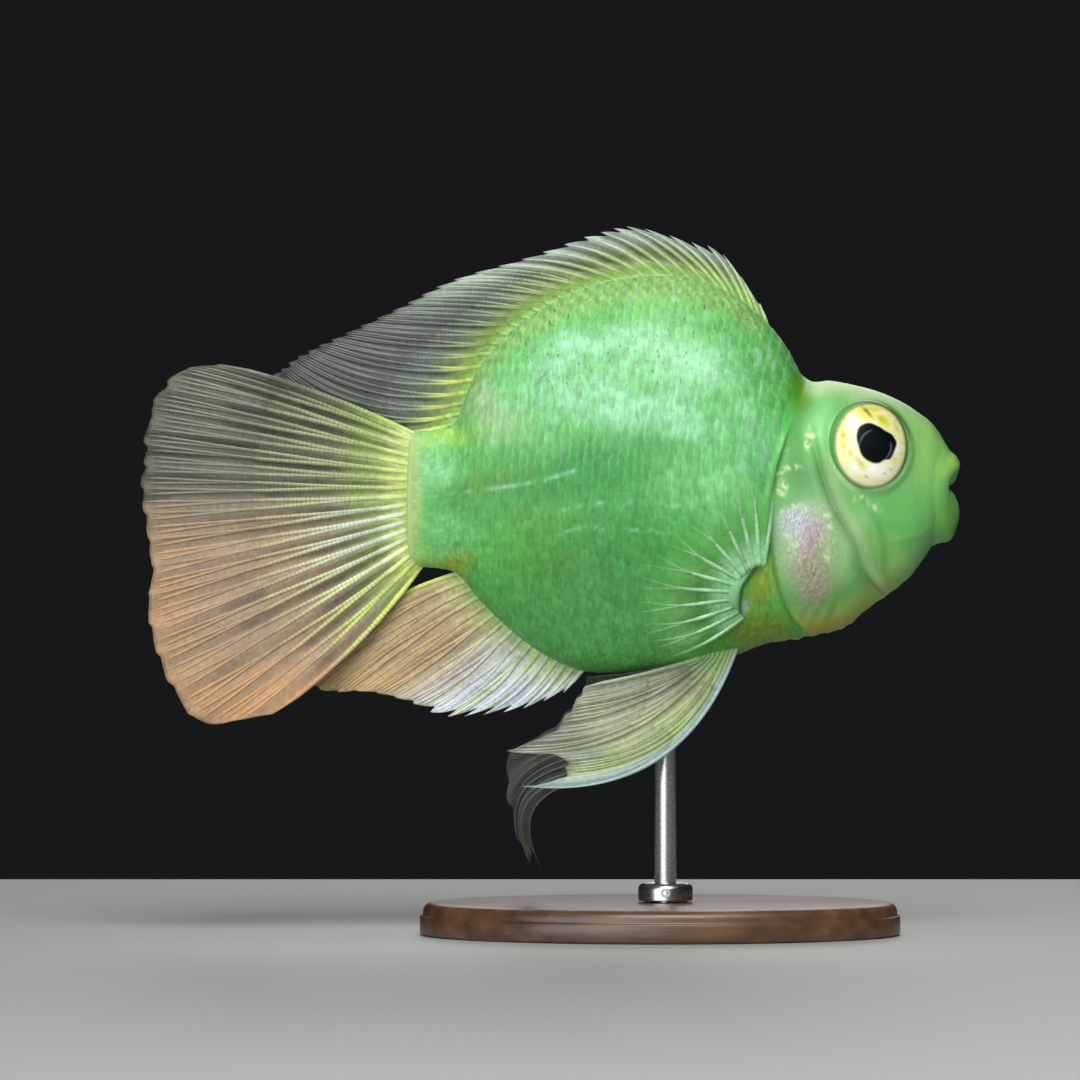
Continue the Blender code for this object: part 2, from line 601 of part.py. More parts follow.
def make_pectorals(collection):
    (pad_x, pad_z), pad_size, pad_lean = PECTORAL_PAD
    for side, name in ((-1, "pectoral_fin_right"), (1, "pectoral_fin_left")):

        def place(spot, distance, along, out):
            root = ray_row(PECTORAL, along)[0]
            lift = PECTORAL_SPREAD * (0.6 + 0.4 * math.sin(math.pi * along))
            rise = PECTORAL_OFF_SKIN + lift * distance * (1 - PECTORAL_CUP * out)
            return Vector((spot.x, side * (flank(*root) + rise), spot.y))

        fin = fin_sheet(
            name, collection, PECTORAL, PECTORAL_RAYS, 5, place,
            ridge=1.1, notch=slight_notch, flare=1.6,
        )
        centre = (pad_x, side * flank(pad_x, pad_z), pad_z)
        pad = ellipsoid("pad", collection, centre, pad_size, segments=16, rings=10, lean=pad_lean)
        combine(fin, [pad], "UNION")
        clear_of_body(fin, collection, head_too=True)
        finish(fin, FIN_GREEN)


def make_pelvics(collection):
    fins = ((-1, "pelvic_fin_right", PELVIC, 7), (1, "pelvic_fin_left", PELVIC_TRAILING, 12))
    for side, name, rows, steps in fins:

        def place(spot, distance, along, out):
            splay = PELVIC_SPLAY * (1.15 - 0.75 * along)
            swell = PELVIC_WAVE * (distance / PELVIC_WAVE_AT) ** 2
            wave = swell * math.sin(distance / PELVIC_WAVE_LENGTH + 2 * along)
            return Vector((spot.x, side * (PELVIC_ROOT_Y + splay * distance + wave), spot.y))

        fin = fin_sheet(
            name, collection, rows, PELVIC_RAYS, steps, place,
            ridge=1.2, notch=slight_notch, flare=2.0, inward=PELVIC_INWARD,
        )
        clear_of_body(fin, collection)
        finish(fin, FIN_PALE)


def make_stand(collection):
    """A turned oval base, a steel collar and one rod that ends in the belly."""
    bpy.ops.mesh.primitive_cylinder_add(
        vertices=56, radius=0.5, depth=BASE_THICKNESS * MM, location=(0, 0, BASE_THICKNESS / 2 * MM)
    )
    base = bpy.context.object
    base.name = "stand_base"
    base.data.transform(Matrix.Diagonal((BASE_LENGTH * MM, BASE_WIDTH * MM, 1, 1)))
    edge = base.modifiers.new("edge", "BEVEL")
    edge.width = BASE_EDGE * MM
    edge.segments = 2
    edge.limit_method = "ANGLE"
    bm = bmesh.new()
    bmesh.ops.create_cone(
        bm, cap_ends=True, segments=20, radius1=ROD_RADIUS + GAP, radius2=ROD_RADIUS + GAP,
        depth=2 * ROD_SOCKET, matrix=Matrix.Translation((ROD_X, 0, BASE_THICKNESS)),
    )
    combine(base, [from_bmesh("socket", bm, collection)], "DIFFERENCE")
    finish(base, WALNUT)
    base.location.z = BASE_THICKNESS / 2 * MM

    foot = BASE_THICKNESS + GAP
    inner, outer, top = ROD_RADIUS + GAP, COLLAR_RADIUS, foot + COLLAR_HEIGHT
    profile = [
        (outer, foot), (inner, foot), (inner, top), (outer - COLLAR_EDGE, top),
        (outer, top - COLLAR_EDGE),
    ]
    mesh = bpy.data.meshes.new("stand_collar")
    corners = [(x * MM, 0, z * MM) for x, z in profile]
    mesh.from_pydata(corners, [(i, (i + 1) % len(corners)) for i in range(len(corners))], [])
    collar = add_object("stand_collar", mesh, collection)
    turn = collar.modifiers.new("turn", "SCREW")
    turn.steps = turn.render_steps = 24
    turn.merge_threshold = 0.00001
    turn.use_merge_vertices = True
    apply_modifiers(collar)
    finish(collar, STEEL)
    collar.location = (ROD_X * MM, 0, 0)

    low = BASE_THICKNESS - ROD_SOCKET + GAP
    high = AXIS_HEIGHT + smooth(BELLY_LINE, ROD_X) + ROD_TOP_INSIDE
    bpy.ops.mesh.primitive_cylinder_add(
        vertices=20, radius=ROD_RADIUS * MM, depth=(high - low) * MM,
    )
    rod = bpy.context.object
    rod.name = "stand_rod"
    finish(rod, STEEL)
    rod.location = (ROD_X * MM, 0, (low + high) / 2 * MM)
    for piece in (base, rod):
        for user in list(piece.users_collection):
            user.objects.unlink(piece)
        collection.objects.link(piece)


def main():
    for obj in list(bpy.data.objects):
        bpy.data.objects.remove(obj)
    fish = bpy.data.collections.new("blood_parrot_cichlid")
    bpy.context.scene.collection.children.link(fish)
    make_head(fish)
    make_trunk(fish)
    make_peduncle(fish)
    make_eyes(fish)
    make_dorsal(fish)
    make_anal(fish)
    make_caudal(fish)
    make_pectorals(fish)
    make_pelvics(fish)
    make_stand(fish)


main()
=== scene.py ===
"""A green-dyed blood parrot cichlid, life-size, on a plain display stand: its looks.

Sizes are in millimetres and scaled to metres where a mesh is made. The fish swims level towards +X and its
right side faces -Y. Heights on the fish are measured from the body's axis, AXIS_HEIGHT above the floor.
"""
import math

import bpy
import numpy as np
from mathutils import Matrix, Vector


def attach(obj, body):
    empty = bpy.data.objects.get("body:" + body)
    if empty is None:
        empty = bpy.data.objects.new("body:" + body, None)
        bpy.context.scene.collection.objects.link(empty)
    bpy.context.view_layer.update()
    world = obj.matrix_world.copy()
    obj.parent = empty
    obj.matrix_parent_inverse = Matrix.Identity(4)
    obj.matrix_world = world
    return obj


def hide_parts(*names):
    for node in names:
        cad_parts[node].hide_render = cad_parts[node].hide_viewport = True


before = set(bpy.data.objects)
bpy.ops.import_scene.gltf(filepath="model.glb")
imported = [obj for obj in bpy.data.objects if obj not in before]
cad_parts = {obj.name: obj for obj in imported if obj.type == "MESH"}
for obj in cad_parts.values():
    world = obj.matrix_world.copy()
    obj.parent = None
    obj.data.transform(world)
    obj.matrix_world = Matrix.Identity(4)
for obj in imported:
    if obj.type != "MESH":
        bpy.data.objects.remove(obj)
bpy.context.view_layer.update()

# Camera and studio
# The photograph looks straight at the fish's right side, level with it and from far off. A long lens over
# a pale table top in a dark room keeps that view, with one large soft lamp, a fill and a lamp behind.
MM = 0.001
VIEW_CENTRE = (-21.98, 72.3)
VIEW_WIDTH = 197.8
CAMERA_DISTANCE = 1200.0
SENSOR = 36.0

scene = bpy.context.scene
scene.view_settings.view_transform = "Standard"
bpy.ops.object.select_all(action="DESELECT")
bpy.ops.object.camera_add(
    location=(VIEW_CENTRE[0] * MM, -CAMERA_DISTANCE * MM, VIEW_CENTRE[1] * MM), rotation=(math.pi / 2, 0, 0)
)
camera = bpy.context.object
camera.name = "photo_camera"
camera.data.sensor_width = SENSOR
camera.data.lens = SENSOR * CAMERA_DISTANCE / VIEW_WIDTH
camera.data.clip_start = 0.05
camera.data.dof.use_dof = False
scene.camera = camera

# name, place in metres, size in metres, watts, colour
LAMPS = [
    ("key", (0.05, -0.85, 1.00), 0.80, 15.0, (1.0, 1.0, 0.97)),
    ("fill", (-0.45, -1.00, 0.15), 1.00, 9.0, (0.97, 1.0, 0.98)),
    ("behind", (0.05, 0.80, 0.50), 0.60, 1.6, (1.0, 1.0, 1.0)),
]
LAMP_TARGET = Vector((-0.01, 0, 0.085))
for name, place, size, power, colour in LAMPS:
    bpy.ops.object.light_add(type="AREA", location=place)
    lamp = bpy.context.object
    lamp.name = name + "_lamp"
    lamp.rotation_euler = (LAMP_TARGET - lamp.location).to_track_quat("-Z", "Y").to_euler()
    lamp.data.shape = "DISK"
    lamp.data.size = size
    lamp.data.energy = power
    lamp.data.color = colour

world = bpy.data.worlds.new("studio")
scene.world = world
world.use_nodes = True
backdrop = world.node_tree.nodes["Background"]
backdrop.inputs["Color"].default_value = (0.008, 0.009, 0.010, 1)
backdrop.inputs["Strength"].default_value = 1.0

# Floor
# A pale, finely grained table top, wide enough to fill the foot of the picture and low behind the fish.
TABLE_SIZE, TABLE_Y, TABLE_EDGE = (1.5, 0.82, 0.02), -0.21, 0.004
bpy.ops.mesh.primitive_cube_add(size=1, location=(0, TABLE_Y, -TABLE_SIZE[2] / 2))
table_top = bpy.context.object
table_top.name = "table_top"
table_top.scale = TABLE_SIZE
bpy.ops.object.transform_apply(location=True, rotation=True, scale=True)
table_edge = table_top.modifiers.new("edge", "BEVEL")
table_edge.width = TABLE_EDGE
table_edge.segments = 4


def new_material(name, roughness, **uniform):
    """A material with its Principled shader's uniform values set: its tree and its shader."""
    made = bpy.data.materials.new(name)
    made.use_nodes = True
    tree = made.node_tree
    shader = tree.nodes["Principled BSDF"]
    shader.inputs["Roughness"].default_value = roughness
    for socket, value in uniform.items():
        shader.inputs[socket.replace("_", " ")].default_value = value
    return made, tree, shader


def add_node(tree, kind, inputs=None, **settings):
    """A shader node with its settings and inputs, where an input is a value or another node's output."""
    made = tree.nodes.new("ShaderNode" + kind)
    for name, value in settings.items():
        setattr(made, name, value)
    for key, value in (inputs or {}).items():
        if isinstance(value, bpy.types.NodeSocket):
            tree.links.new(value, made.inputs[key])
        else:
            made.inputs[key].default_value = value
    return made


def mix_colours(tree, share, first, second, blend="MIX"):
    """Two colours mixed, where each is a (red, green, blue) or another node's output."""
    first, second = ((*value, 1) if isinstance(value, tuple) else value for value in (first, second))
    inputs = {0: share, 6: first, 7: second}
    return add_node(tree, "Mix", inputs, data_type="RGBA", blend_type=blend).outputs[2]


def feed(tree, shader, output, socket="Base Color"):
    tree.links.new(output, shader.inputs[socket])


def stretched_noise(tree, scale, size, detail=3.0, where="Object"):
    """Noise on Object coordinates or a UV map, stretched by a scale along each axis."""
    place = add_node(tree, "TexCoord").outputs[where]
    stretched = add_node(tree, "Mapping", {"Vector": place, "Scale": scale}).outputs[0]
    return add_node(tree, "TexNoise", {"Vector": stretched, "Scale": size, "Detail": detail}).outputs[0]


table_finish, tree, shader = new_material("pale_table_top", 0.55)
grain = stretched_noise(tree, (1, 1, 1), 900.0)
feed(tree, shader, mix_colours(tree, grain, (0.36, 0.365, 0.36), (0.41, 0.41, 0.405)))
table_top.data.materials.append(table_finish)


# Body skin
# Head, body and the tail's fleshy root in one skin: a loft whose rings follow the gill cover's edge, the
# crease of the cheek and the muzzle, then roll over the lips into the mouth. It is the dyed skin itself,
# moist and slightly see-through, with its markings painted as soft patches and bands, and with painted
# highlights, glints and shade among them: sheen on the upper flank, dark creases, gill opening, eye rim and
# mouth.
AXIS_HEIGHT = 84.0
BACK_LINE = [
    (-50.0, 8.0), (-44.9, 8.1), (-40.3, 8.4), (-37.2, 10.0), (-34.4, 17.4), (-29.3, 24.9),
    (-21.1, 31.3), (-11.0, 35.3), (-1.8, 36.8), (7.3, 35.9), (14.7, 32.2), (19.2, 28.2),
    (22.9, 23.6), (25.6, 18.9), (27.2, 17.6), (31.1, 17.5), (36.6, 16.5), (42.1, 14.6),
    (47.6, 11.4), (50.4, 8.9), (52.0, 6.2), (52.8, 3.6), (53.2, -2.4),
]
BELLY_LINE = [
    (-50.0, -16.3), (-44.9, -16.5), (-40.3, -16.7), (-37.2, -17.6), (-33.0, -22.7),
    (-27.5, -28.2), (-21.1, -32.8), (-14.7, -35.4), (-7.3, -35.7), (0.0, -34.9), (7.3, -34.2),
    (13.7, -32.6), (19.2, -30.5), (25.6, -29.6), (31.1, -28.7), (34.6, -27.2), (38.3, -24.0),
    (42.1, -21.3), (46.7, -17.2), (50.4, -11.6), (52.3, -7.6), (53.2, -2.4),
]
HALF_WIDTH = [
    (-50.0, 2.2), (-44.9, 2.9), (-40.0, 4.7), (-34.0, 7.6), (-26.0, 10.8), (-15.0, 13.8),
    (-4.0, 15.8), (8.0, 16.8), (18.0, 16.6), (26.0, 15.9), (34.0, 14.6), (41.0, 12.6),
    (47.0, 9.6), (50.9, 6.6), (52.6, 4.0), (53.2, 0.0),
]
BACK_SQUARENESS = [(-50.0, 2.2), (-34.0, 1.9), (0.0, 1.8), (22.0, 1.9), (30.0, 2.2), (53.2, 2.4)]
BELLY_SQUARENESS = [(-50.0, 2.2), (-20.0, 1.9), (5.0, 2.1), (53.2, 2.2)]
WIDEST_DROP = 0.05
# Lines on the flank, as place along the body at a height
GILL_LINE = [
    (-45.0, 36.0), (-30.0, 27.8), (-25.5, 23.8), (-19.0, 20.9), (-10.8, 19.6), (0.2, 20.5), (9.3, 23.4),
    (17.6, 26.4), (45.0, 29.0),
]
CREASE_LINE = [
    (-30.0, 50.0), (-24.0, 44.0), (-20.5, 39.4), (-16.8, 36.3), (-11.0, 34.1), (-5.1, 30.8),
    (0.0, 29.0), (6.0, 27.6), (18.0, 27.2),
]
CHEEK_FOLD = [
    (-24.0, 43.0), (-16.8, 40.5), (-10.9, 39.7), (-4.5, 36.3), (0.0, 33.2), (4.8, 30.4), (12.0, 28.6),
]
MUZZLE_LINE = [(-14.0, 49.6), (-8.0, 50.0), (-2.0, 49.6), (3.0, 50.4), (6.0, 51.6), (12.0, 51.8)]
JAW_LINE = [(39.9, -12.3), (43.0, -12.2), (46.2, -11.4), (49.5, -9.5)]
EYE_LINE = [(30.2, 3.8), (31.2, 1.6), (32.6, -0.5), (34.2, -2.1), (35.8, -3.2)]
TAIL_END_X, TAIL_END_BOW, TAIL_END_ROUND = -45.6, 0.8, 1.6
EYE_X, EYE_Z = 38.1, 5.7
EYE_HALF_LENGTH, EYE_HALF_HEIGHT = 7.7, 8.4
EYE_BULGE, EYE_SINK = 3.5, 1.2
EYE_YAW, EYE_TILT = math.radians(21), math.radians(11)
SKIN_AROUND = 300
SKIN_RINGS = {"body": 138, "cover": 46, "cheek": 62, "mouth": 40, "tail": 6}
GROOVE_OFFSETS = (0.9, 0.5, 0.25, 0.1, 0.0)
# The lips in the middle plane from the muzzle round into the mouth, as (x, z), and at its corner as (x, y)
UPPER_LIP = [
    (0.0, 51.7, 7.0), (0.2, 52.9, 5.0), (0.42, 54.3, 3.6), (0.6, 54.9, 2.0), (0.75, 54.4, 0.2),
    (0.88, 53.6, -1.4), (1.0, 51.3, -2.2),
]
LOWER_LIP = [
    (0.0, 49.4, -12.9), (0.14, 50.9, -12.3), (0.3, 53.0, -11.8), (0.48, 54.3, -9.2), (0.64, 54.8, -6.4),
    (0.78, 54.2, -4.1), (0.88, 53.4, -2.8), (1.0, 51.2, -2.4),
]
LIP_CORNER = [
    (0.0, 49.2, 7.6), (0.2, 50.5, 7.2), (0.42, 51.8, 6.4), (0.6, 52.5, 5.4), (0.75, 52.2, 4.7),
    (0.88, 51.4, 4.2), (1.0, 50.2, 3.8),
]
MOUTH_Z, LIP_POWER = -2.3, 0.86
ORBIT_RISE, ORBIT_WIDTH, SOCKET_DEPTH = 0.6, 0.09, 2.4
# How deep the skin lies under the scales
SCALE_DEPTH = 0.12


def smooth(knots, at):
    """Values at places, on a smooth line through knots of (place, value)."""
    places, values = np.array(knots, float).T
    gaps = np.diff(places)
    slopes = np.diff(values) / gaps
    inner = (slopes[:-1] * gaps[1:] + slopes[1:] * gaps[:-1]) / (gaps[:-1] + gaps[1:])
    tangents = np.concatenate([slopes[:1], inner, slopes[-1:]])
    at = np.clip(np.asarray(at, float), places[0], places[-1])
    i = np.clip(np.searchsorted(places, at) - 1, 0, len(gaps) - 1)
    t = (at - places[i]) / gaps[i]
    return (
        values[i] * (1 + 2 * t) * (1 - t) ** 2 + tangents[i] * gaps[i] * t * (1 - t) ** 2
        + values[i + 1] * t * t * (3 - 2 * t) + tangents[i + 1] * gaps[i] * t * t * (t - 1)
    )


def table_line(rows, pick, at):
    """A column of a table whose first column is the place, at places between its rows."""
    return smooth([(row[0], row[pick]) for row in rows], at)


def ramp(value, low, high):
    """0 below low, 1 above high and smooth between."""
    t = np.clip((np.asarray(value, float) - low) / (high - low), 0, 1)
    return t * t * (3 - 2 * t)


def fade(value, low, high):
    """1 below low, 0 above high and smooth between."""
    return 1 - ramp(value, low, high)


def bell(value, middle, width):
    """1 at the middle and falling to about a third a width away."""
    return np.exp(-(((value - middle) / width) ** 2))


def unit(vectors):
    return vectors / np.maximum(np.linalg.norm(vectors, axis=-1, keepdims=True), 1e-9)


def section(x, is_above):
    """The widest height of the body's section, its reach up or down from there, and its squareness."""
    top, bottom = smooth(BACK_LINE, x), smooth(BELLY_LINE, x)
    widest = (top + bottom) / 2 - WIDEST_DROP * (top - bottom)
    above = is_above(widest)
    power = np.where(above, smooth(BACK_SQUARENESS, x), smooth(BELLY_SQUARENESS, x))
    return widest, np.where(above, top - widest, widest - bottom), power


def body_point(x, angle):
    """Points of the plain body at places and angles round the section, 0 at the back."""
    up, out = np.cos(angle), np.sin(angle)
    widest, reach, power = section(x, lambda widest: up > 0)
    z = widest + np.sign(up) * np.abs(up) ** (2 / power) * reach
    y = np.sign(out) * np.abs(out) ** (2 / power) * smooth(HALF_WIDTH, x)
    return np.stack([np.broadcast_to(x, z.shape), y, z], -1)


def flank(x, z):
    """Half width of the body at a place and height."""
    widest, reach, power = section(x, lambda widest: z > widest)
    share = np.minimum(np.abs(z - widest) / reach, 1)
    return smooth(HALF_WIDTH, x) * (1 - share**power) ** (1 / power)


def where_line_meets(line, angle, low, high):
    """The place along the body where a line on the flank crosses each angle round the section."""
    low, high = np.full_like(angle, low), np.full_like(angle, high)
    for _ in range(40):
        middle = (low + high) / 2
        ahead = middle > smooth(line, body_point(middle, angle)[..., 2])
        low, high = np.where(ahead, low, middle), np.where(ahead, middle, high)
    return (low + high) / 2


def grid_normals(points):
    """Unit normals of a grid of points whose second direction is a closed ring."""
    along = np.gradient(points, axis=0)
    around = np.roll(points, -1, axis=1) - np.roll(points, 1, axis=1)
    return unit(np.cross(around, along))


def eye_axes(side):
    """Where an eye sits and which way it looks: centre, forward axis, up axis and outward axis."""
    level = math.cos(EYE_TILT)
    out = np.array([math.sin(EYE_YAW) * level, side * math.cos(EYE_YAW) * level, math.sin(EYE_TILT)])
    forward = np.cross((0, 0, 1), out)
    forward *= np.sign(forward[0]) / np.linalg.norm(forward)
    up = np.cross(out, forward) * (1 if side < 0 else -1)
    centre = np.array([EYE_X, side * float(flank(EYE_X, EYE_Z)), EYE_Z]) - out * EYE_SINK
    return centre, forward, up, out


def off_line(line, x, z):
    """How far ahead of a line on the flank a place lies."""
    return x - smooth(line, z)


def off_course(course, x, z):
    """How far above a line of (x, z) points a place lies, and whether it is beside the line."""
    beside = ramp(x, course[0][0] - 1, course[0][0] + 2) * fade(x, course[-1][0] - 2, course[-1][0] + 1)
    return z - smooth(course, x), beside


def flesh_relief(points):
    """How far the skin stands out from the plain form: gill cover, cheek, folds, eye socket and throat."""
    x, _, z = np.moveaxis(points, -1, 0)
    gill, crease, fold = (off_line(line, x, z) for line in (GILL_LINE, CREASE_LINE, CHEEK_FOLD))
    over_belly = z - smooth(BELLY_LINE, x)
    cover = 0.85 * ramp(gill, -0.05, 0.5) * fade(crease, -2.2, 0.2)
    cover -= 0.35 * bell(gill, -0.25, 0.5) * (gill < 0.05)
    cheek = 0.55 * ramp(crease, 0.1, 2.6) * fade(x, 42.0, 49.0)
    crease_cut = 0.55 * bell(crease, 0, 0.45) * ramp(z, -24.0, -20.0)
    fold_cut = 0.10 * bell(fold, 0, 0.7) * ramp(z, -20.0, -15.0)
    fold_lift = 0.25 * bell(fold, 1.6, 1.4) * ramp(z, -20.0, -15.0)
    plates = cover + cheek - crease_cut - fold_cut + fold_lift
    relief = ramp(over_belly, 0.5, 6.0) * fade(z, 2.0, 11.0) * plates
    above_jaw, beside = off_course(JAW_LINE, x, z)
    relief -= 0.06 * bell(above_jaw, 0, 0.8) * beside
    relief += 0.05 * bell(above_jaw, 1.6, 1.2) * beside
    for start, lean in ((24.0, 0.55), (26.6, 0.5), (29.4, 0.45)):
        relief += 0.22 * bell(x - start - lean * (z + 30), 0, 0.8) * fade(z, -26.0, -22.0) * (x < 38)
    scallop = np.sin((x - 22) * 2 * math.pi / 5.2 + 1.6 * wander(x / 3, 0 * x, 4)) ** 2
    relief -= 0.14 * scallop * fade(over_belly, 0.5, 3.0) * ramp(x, 20.0, 24.0) * fade(x, 44.0, 48.0)
    relief += 0.3 * (wander(x / 5.0, z / 5.0, 3) - 0.5) * ramp(x, 22.0, 30.0) * fade(x, 46.0, 50.0)
    return relief


def wander(u, v, seed):
    """Smooth noise from 0 to 1 with features about 1 across."""
    i, j = np.floor(u), np.floor(v)
    s, t = u - i, v - j
    s, t = s * s * (3 - 2 * s), t * t * (3 - 2 * t)

    def corner(a, b):
        h = np.sin(a * 127.1 + b * 311.7 + seed * 74.7) * 43758.5453
        return h - np.floor(h)

    low = corner(i, j) * (1 - s) + corner(i + 1, j) * s
    high = corner(i, j + 1) * (1 - s) + corner(i + 1, j + 1) * s
    return low * (1 - t) + high * t


def grid_faces(rows, columns, closed=True):
    """Faces of a grid of rows by columns, whose rows are closed rings or not."""
    i = np.arange(rows - 1)[:, None]
    j = np.arange(columns if closed else columns - 1)[None, :]
    k = (j + 1) % columns
    faces = np.stack([i * columns + j, (i + 1) * columns + j, (i + 1) * columns + k, i * columns + k], -1)
    return faces.reshape(-1, 4)


def mesh_piece(name, points, faces):
    """An object from points in millimetres about the body's axis and faces of equal size."""
    points = np.asarray(points, np.float32).reshape(-1, 3) * MM
    points += np.array([0, 0, AXIS_HEIGHT * MM], np.float32)
    mesh = bpy.data.meshes.new(name)
    mesh.vertices.add(len(points))
    mesh.vertices.foreach_set("co", points.ravel())
    sides = faces.shape[1]
    mesh.loops.add(faces.size)
    mesh.loops.foreach_set("vertex_index", faces.astype(np.int32).ravel())
    mesh.polygons.add(len(faces))
    mesh.polygons.foreach_set("loop_start", np.arange(0, faces.size, sides, dtype=np.int32))
    mesh.update(calc_edges=True)
    mesh.validate()
    mesh.shade_smooth()
    piece = bpy.data.objects.new(name, mesh)
    scene.collection.objects.link(piece)
    return piece


def select_only(piece):
    bpy.ops.object.select_all(action="DESELECT")
    bpy.context.view_layer.objects.active = piece
    piece.select_set(True)


def turn_outwards(piece, merge=None):
    """Turns a piece's faces outwards, once points that lie within a distance to merge are one."""
    select_only(piece)
    bpy.ops.object.mode_set(mode="EDIT")
    bpy.ops.mesh.select_all(action="SELECT")
    if merge:
        bpy.ops.mesh.remove_doubles(threshold=merge * MM)
    bpy.ops.mesh.normals_make_consistent(inside=False)
    bpy.ops.object.mode_set(mode="OBJECT")


def give_colours(piece, name, colours):
    """A colour for each point of a mesh, as an attribute that the materials read."""
    values = np.ones((len(piece.data.vertices), 4), np.float32)
    values[:, : colours.shape[-1]] = colours.reshape(-1, colours.shape[-1])
    piece.data.color_attributes.new(name, "FLOAT_COLOR", "POINT").data.foreach_set("color", values.ravel())


def points_of(piece):
    """The mesh's points in millimetres about the body's axis."""
    values = np.empty(len(piece.data.vertices) * 3, np.float32)
    piece.data.vertices.foreach_get("co", values)
    return values.reshape(-1, 3).astype(float) / MM - np.array([0, 0, AXIS_HEIGHT])


def named_colours(**colours):
    """Named colours as the eye sees them, 0 to 255, in the linear light that the shader takes."""
    shares = {name: np.array(colour) / 255 for name, colour in colours.items()}
    return {name: np.where(share < 0.04045, share / 12.92, ((share + 0.055) / 1.055) ** 2.4)
            for name, share in shares.items()}


# The skin's colours. The mint is partly painted highlight, the glint is a painted glint, and the dark and
# mouth colours also serve as painted shade.
SKIN_COLOURS = named_colours(
    leaf=(92, 186, 88), deep=(38, 146, 48), mint=(168, 236, 190), pale=(138, 218, 142), back=(132, 202, 94),
    belly=(98, 182, 92), moss=(92, 150, 50), nape=(88, 146, 20), yellow=(176, 232, 104),
    olive=(176, 184, 70), orange=(172, 132, 48), brow=(202, 230, 178), snout=(142, 192, 100),
    face=(112, 178, 104), shade=(70, 134, 74), silver=(186, 200, 208), lilac=(198, 160, 188),
    rose=(170, 150, 124), sand=(188, 212, 160), glint=(226, 244, 190), dark=(34, 70, 34),
    lip=(156, 206, 96), mouth=(40, 56, 30), gold=(150, 170, 40), sheath=(132, 186, 98), rib=(190, 226, 140),
    joint=(164, 198, 120),
)
# Soft patches of dye, some of them painted highlight and glints: colour, strength, centre x and z, half
# length, half height, lean in degrees
PATCHES = [
    ("belly", 0.6, 0, -31, 34, 12, 0), ("deep", 0.95, -15, 0.5, 17, 5.5, 10),
    ("deep", 0.9, -16, 0, 11, 3.5, 8), ("deep", 0.6, -4, -9, 20, 9, 8), ("leaf", 0.6, 12, 2, 10, 14, 0),
    ("shade", 0.6, -12, -19, 16, 10, 0), ("moss", 0.4, -22, -12, 8, 9, 0), ("back", 0.8, 4, 34, 22, 4.5, 0),
    ("back", 0.55, -20, 30, 12, 4, 36), ("pale", 0.5, -6, 18, 22, 8, 4),
    # The mint patches on the upper flank are partly dye and partly painted highlight, in broken arcs
    ("mint", 0.75, -18, 22, 6, 3.2, 30), ("mint", 0.6, -8, 24, 7, 2.6, 8),
    ("mint", 0.5, 6, 19.5, 9, 3.4, -14), ("mint", 0.5, -7, 12.5, 12, 3.8, 4),
    ("mint", 0.45, 4, 10.5, 9, 4.0, -6), ("mint", 0.35, -12, 17, 10, 2.2, 14),
    ("mint", 0.4, 17, 4, 5, 6, 0), ("pale", 0.6, 9, -3, 9, 7, 0), ("sand", 0.55, -30, 11, 4.5, 6, 40),
    ("sand", 0.45, -33, 15, 3, 5, 30), ("pale", 0.4, -27, 18, 6, 5, 40), ("deep", 0.4, 19, 17, 5, 9, 30),
    ("deep", 0.35, 18, 4, 3.5, 9, 0), ("moss", 0.35, 21, 20, 4.5, 6, 50),
    ("nape", 0.9, 26.2, 15.6, 2.2, 4.2, 10), ("leaf", 0.6, 12, 13, 6, 5, 0),
    ("leaf", 0.45, -2, 16.5, 4, 2.5, 0), ("yellow", 0.85, -39.5, 7.2, 6, 2.6, 0),
    ("yellow", 0.45, -40.5, -15.5, 6, 2.4, 0), ("gold", 0.7, -38, -16.4, 3.6, 2.0, 10),
    ("pale", 0.7, -41, 1.5, 6, 4, 0), ("shade", 0.4, -36, -4.5, 5, 3, 6),
    ("moss", 0.7, -31.5, -1.0, 7, 2.2, 10), ("yellow", 0.45, -45, -4, 1.6, 13, 0),
    ("pale", 0.45, -39, -10.5, 5, 4, 0), ("brow", 0.85, 34, 16.5, 9, 2.6, -8),
    ("brow", 0.7, 44, 13, 6, 2.2, -32), ("face", 0.7, 46, -3, 6, 9, 0), ("snout", 0.75, 49, 4, 3, 7, 0),
    ("snout", 0.5, 46, 9, 6, 4, -30), ("pale", 0.5, 29.5, 10, 3, 4, 0),
    ("shade", 0.55, 27.5, -0.5, 4.5, 3.5, -20), ("leaf", 0.5, 43, -8, 6, 5, 0),
    ("snout", 0.5, 42, -15, 6, 3, -45), ("olive", 0.8, 28, -28.5, 10, 3.4, 4),
    ("olive", 0.6, 38, -23, 8, 3.2, 34), ("orange", 0.45, 32, -28, 7, 2.2, 10),
    ("nape", 0.45, 17, -28, 5, 5, 0), ("gold", 0.6, 18, -29, 7, 4.5, 0), ("moss", 0.4, 30, -22, 4, 4, 0),
    ("sand", 0.25, 33.5, -14, 2.0, 8, -22), ("lip", 0.8, 53.5, 2, 2.6, 3, 0),
    ("moss", 0.7, 53, -8, 2.6, 4.5, 0), ("gold", 0.6, 18.5, -20, 3.0, 5.5, -20),
    # The yellow streak and the silver spot at the pectoral fin's foot are painted glints
    ("yellow", 1.0, 18.1, -17.6, 0.4, 2.4, -34), ("gold", 0.5, 16.6, -19.6, 1.6, 3.0, -34),
    ("silver", 0.8, 15.7, -22.9, 0.75, 1.4, -10),
]
# The gill cover's opal plate, from silver to lilac to rose, in the same form
OPAL = [
    ("sand", 0.8, 26.4, -12.0, 5.2, 7.4, -14), ("silver", 0.95, 24.6, -8.6, 3.2, 4.0, -30),
    ("lilac", 0.9, 27.2, -11.2, 1.8, 5.2, -24), ("rose", 0.8, 27.0, -18.0, 3.2, 5.4, -10),
]
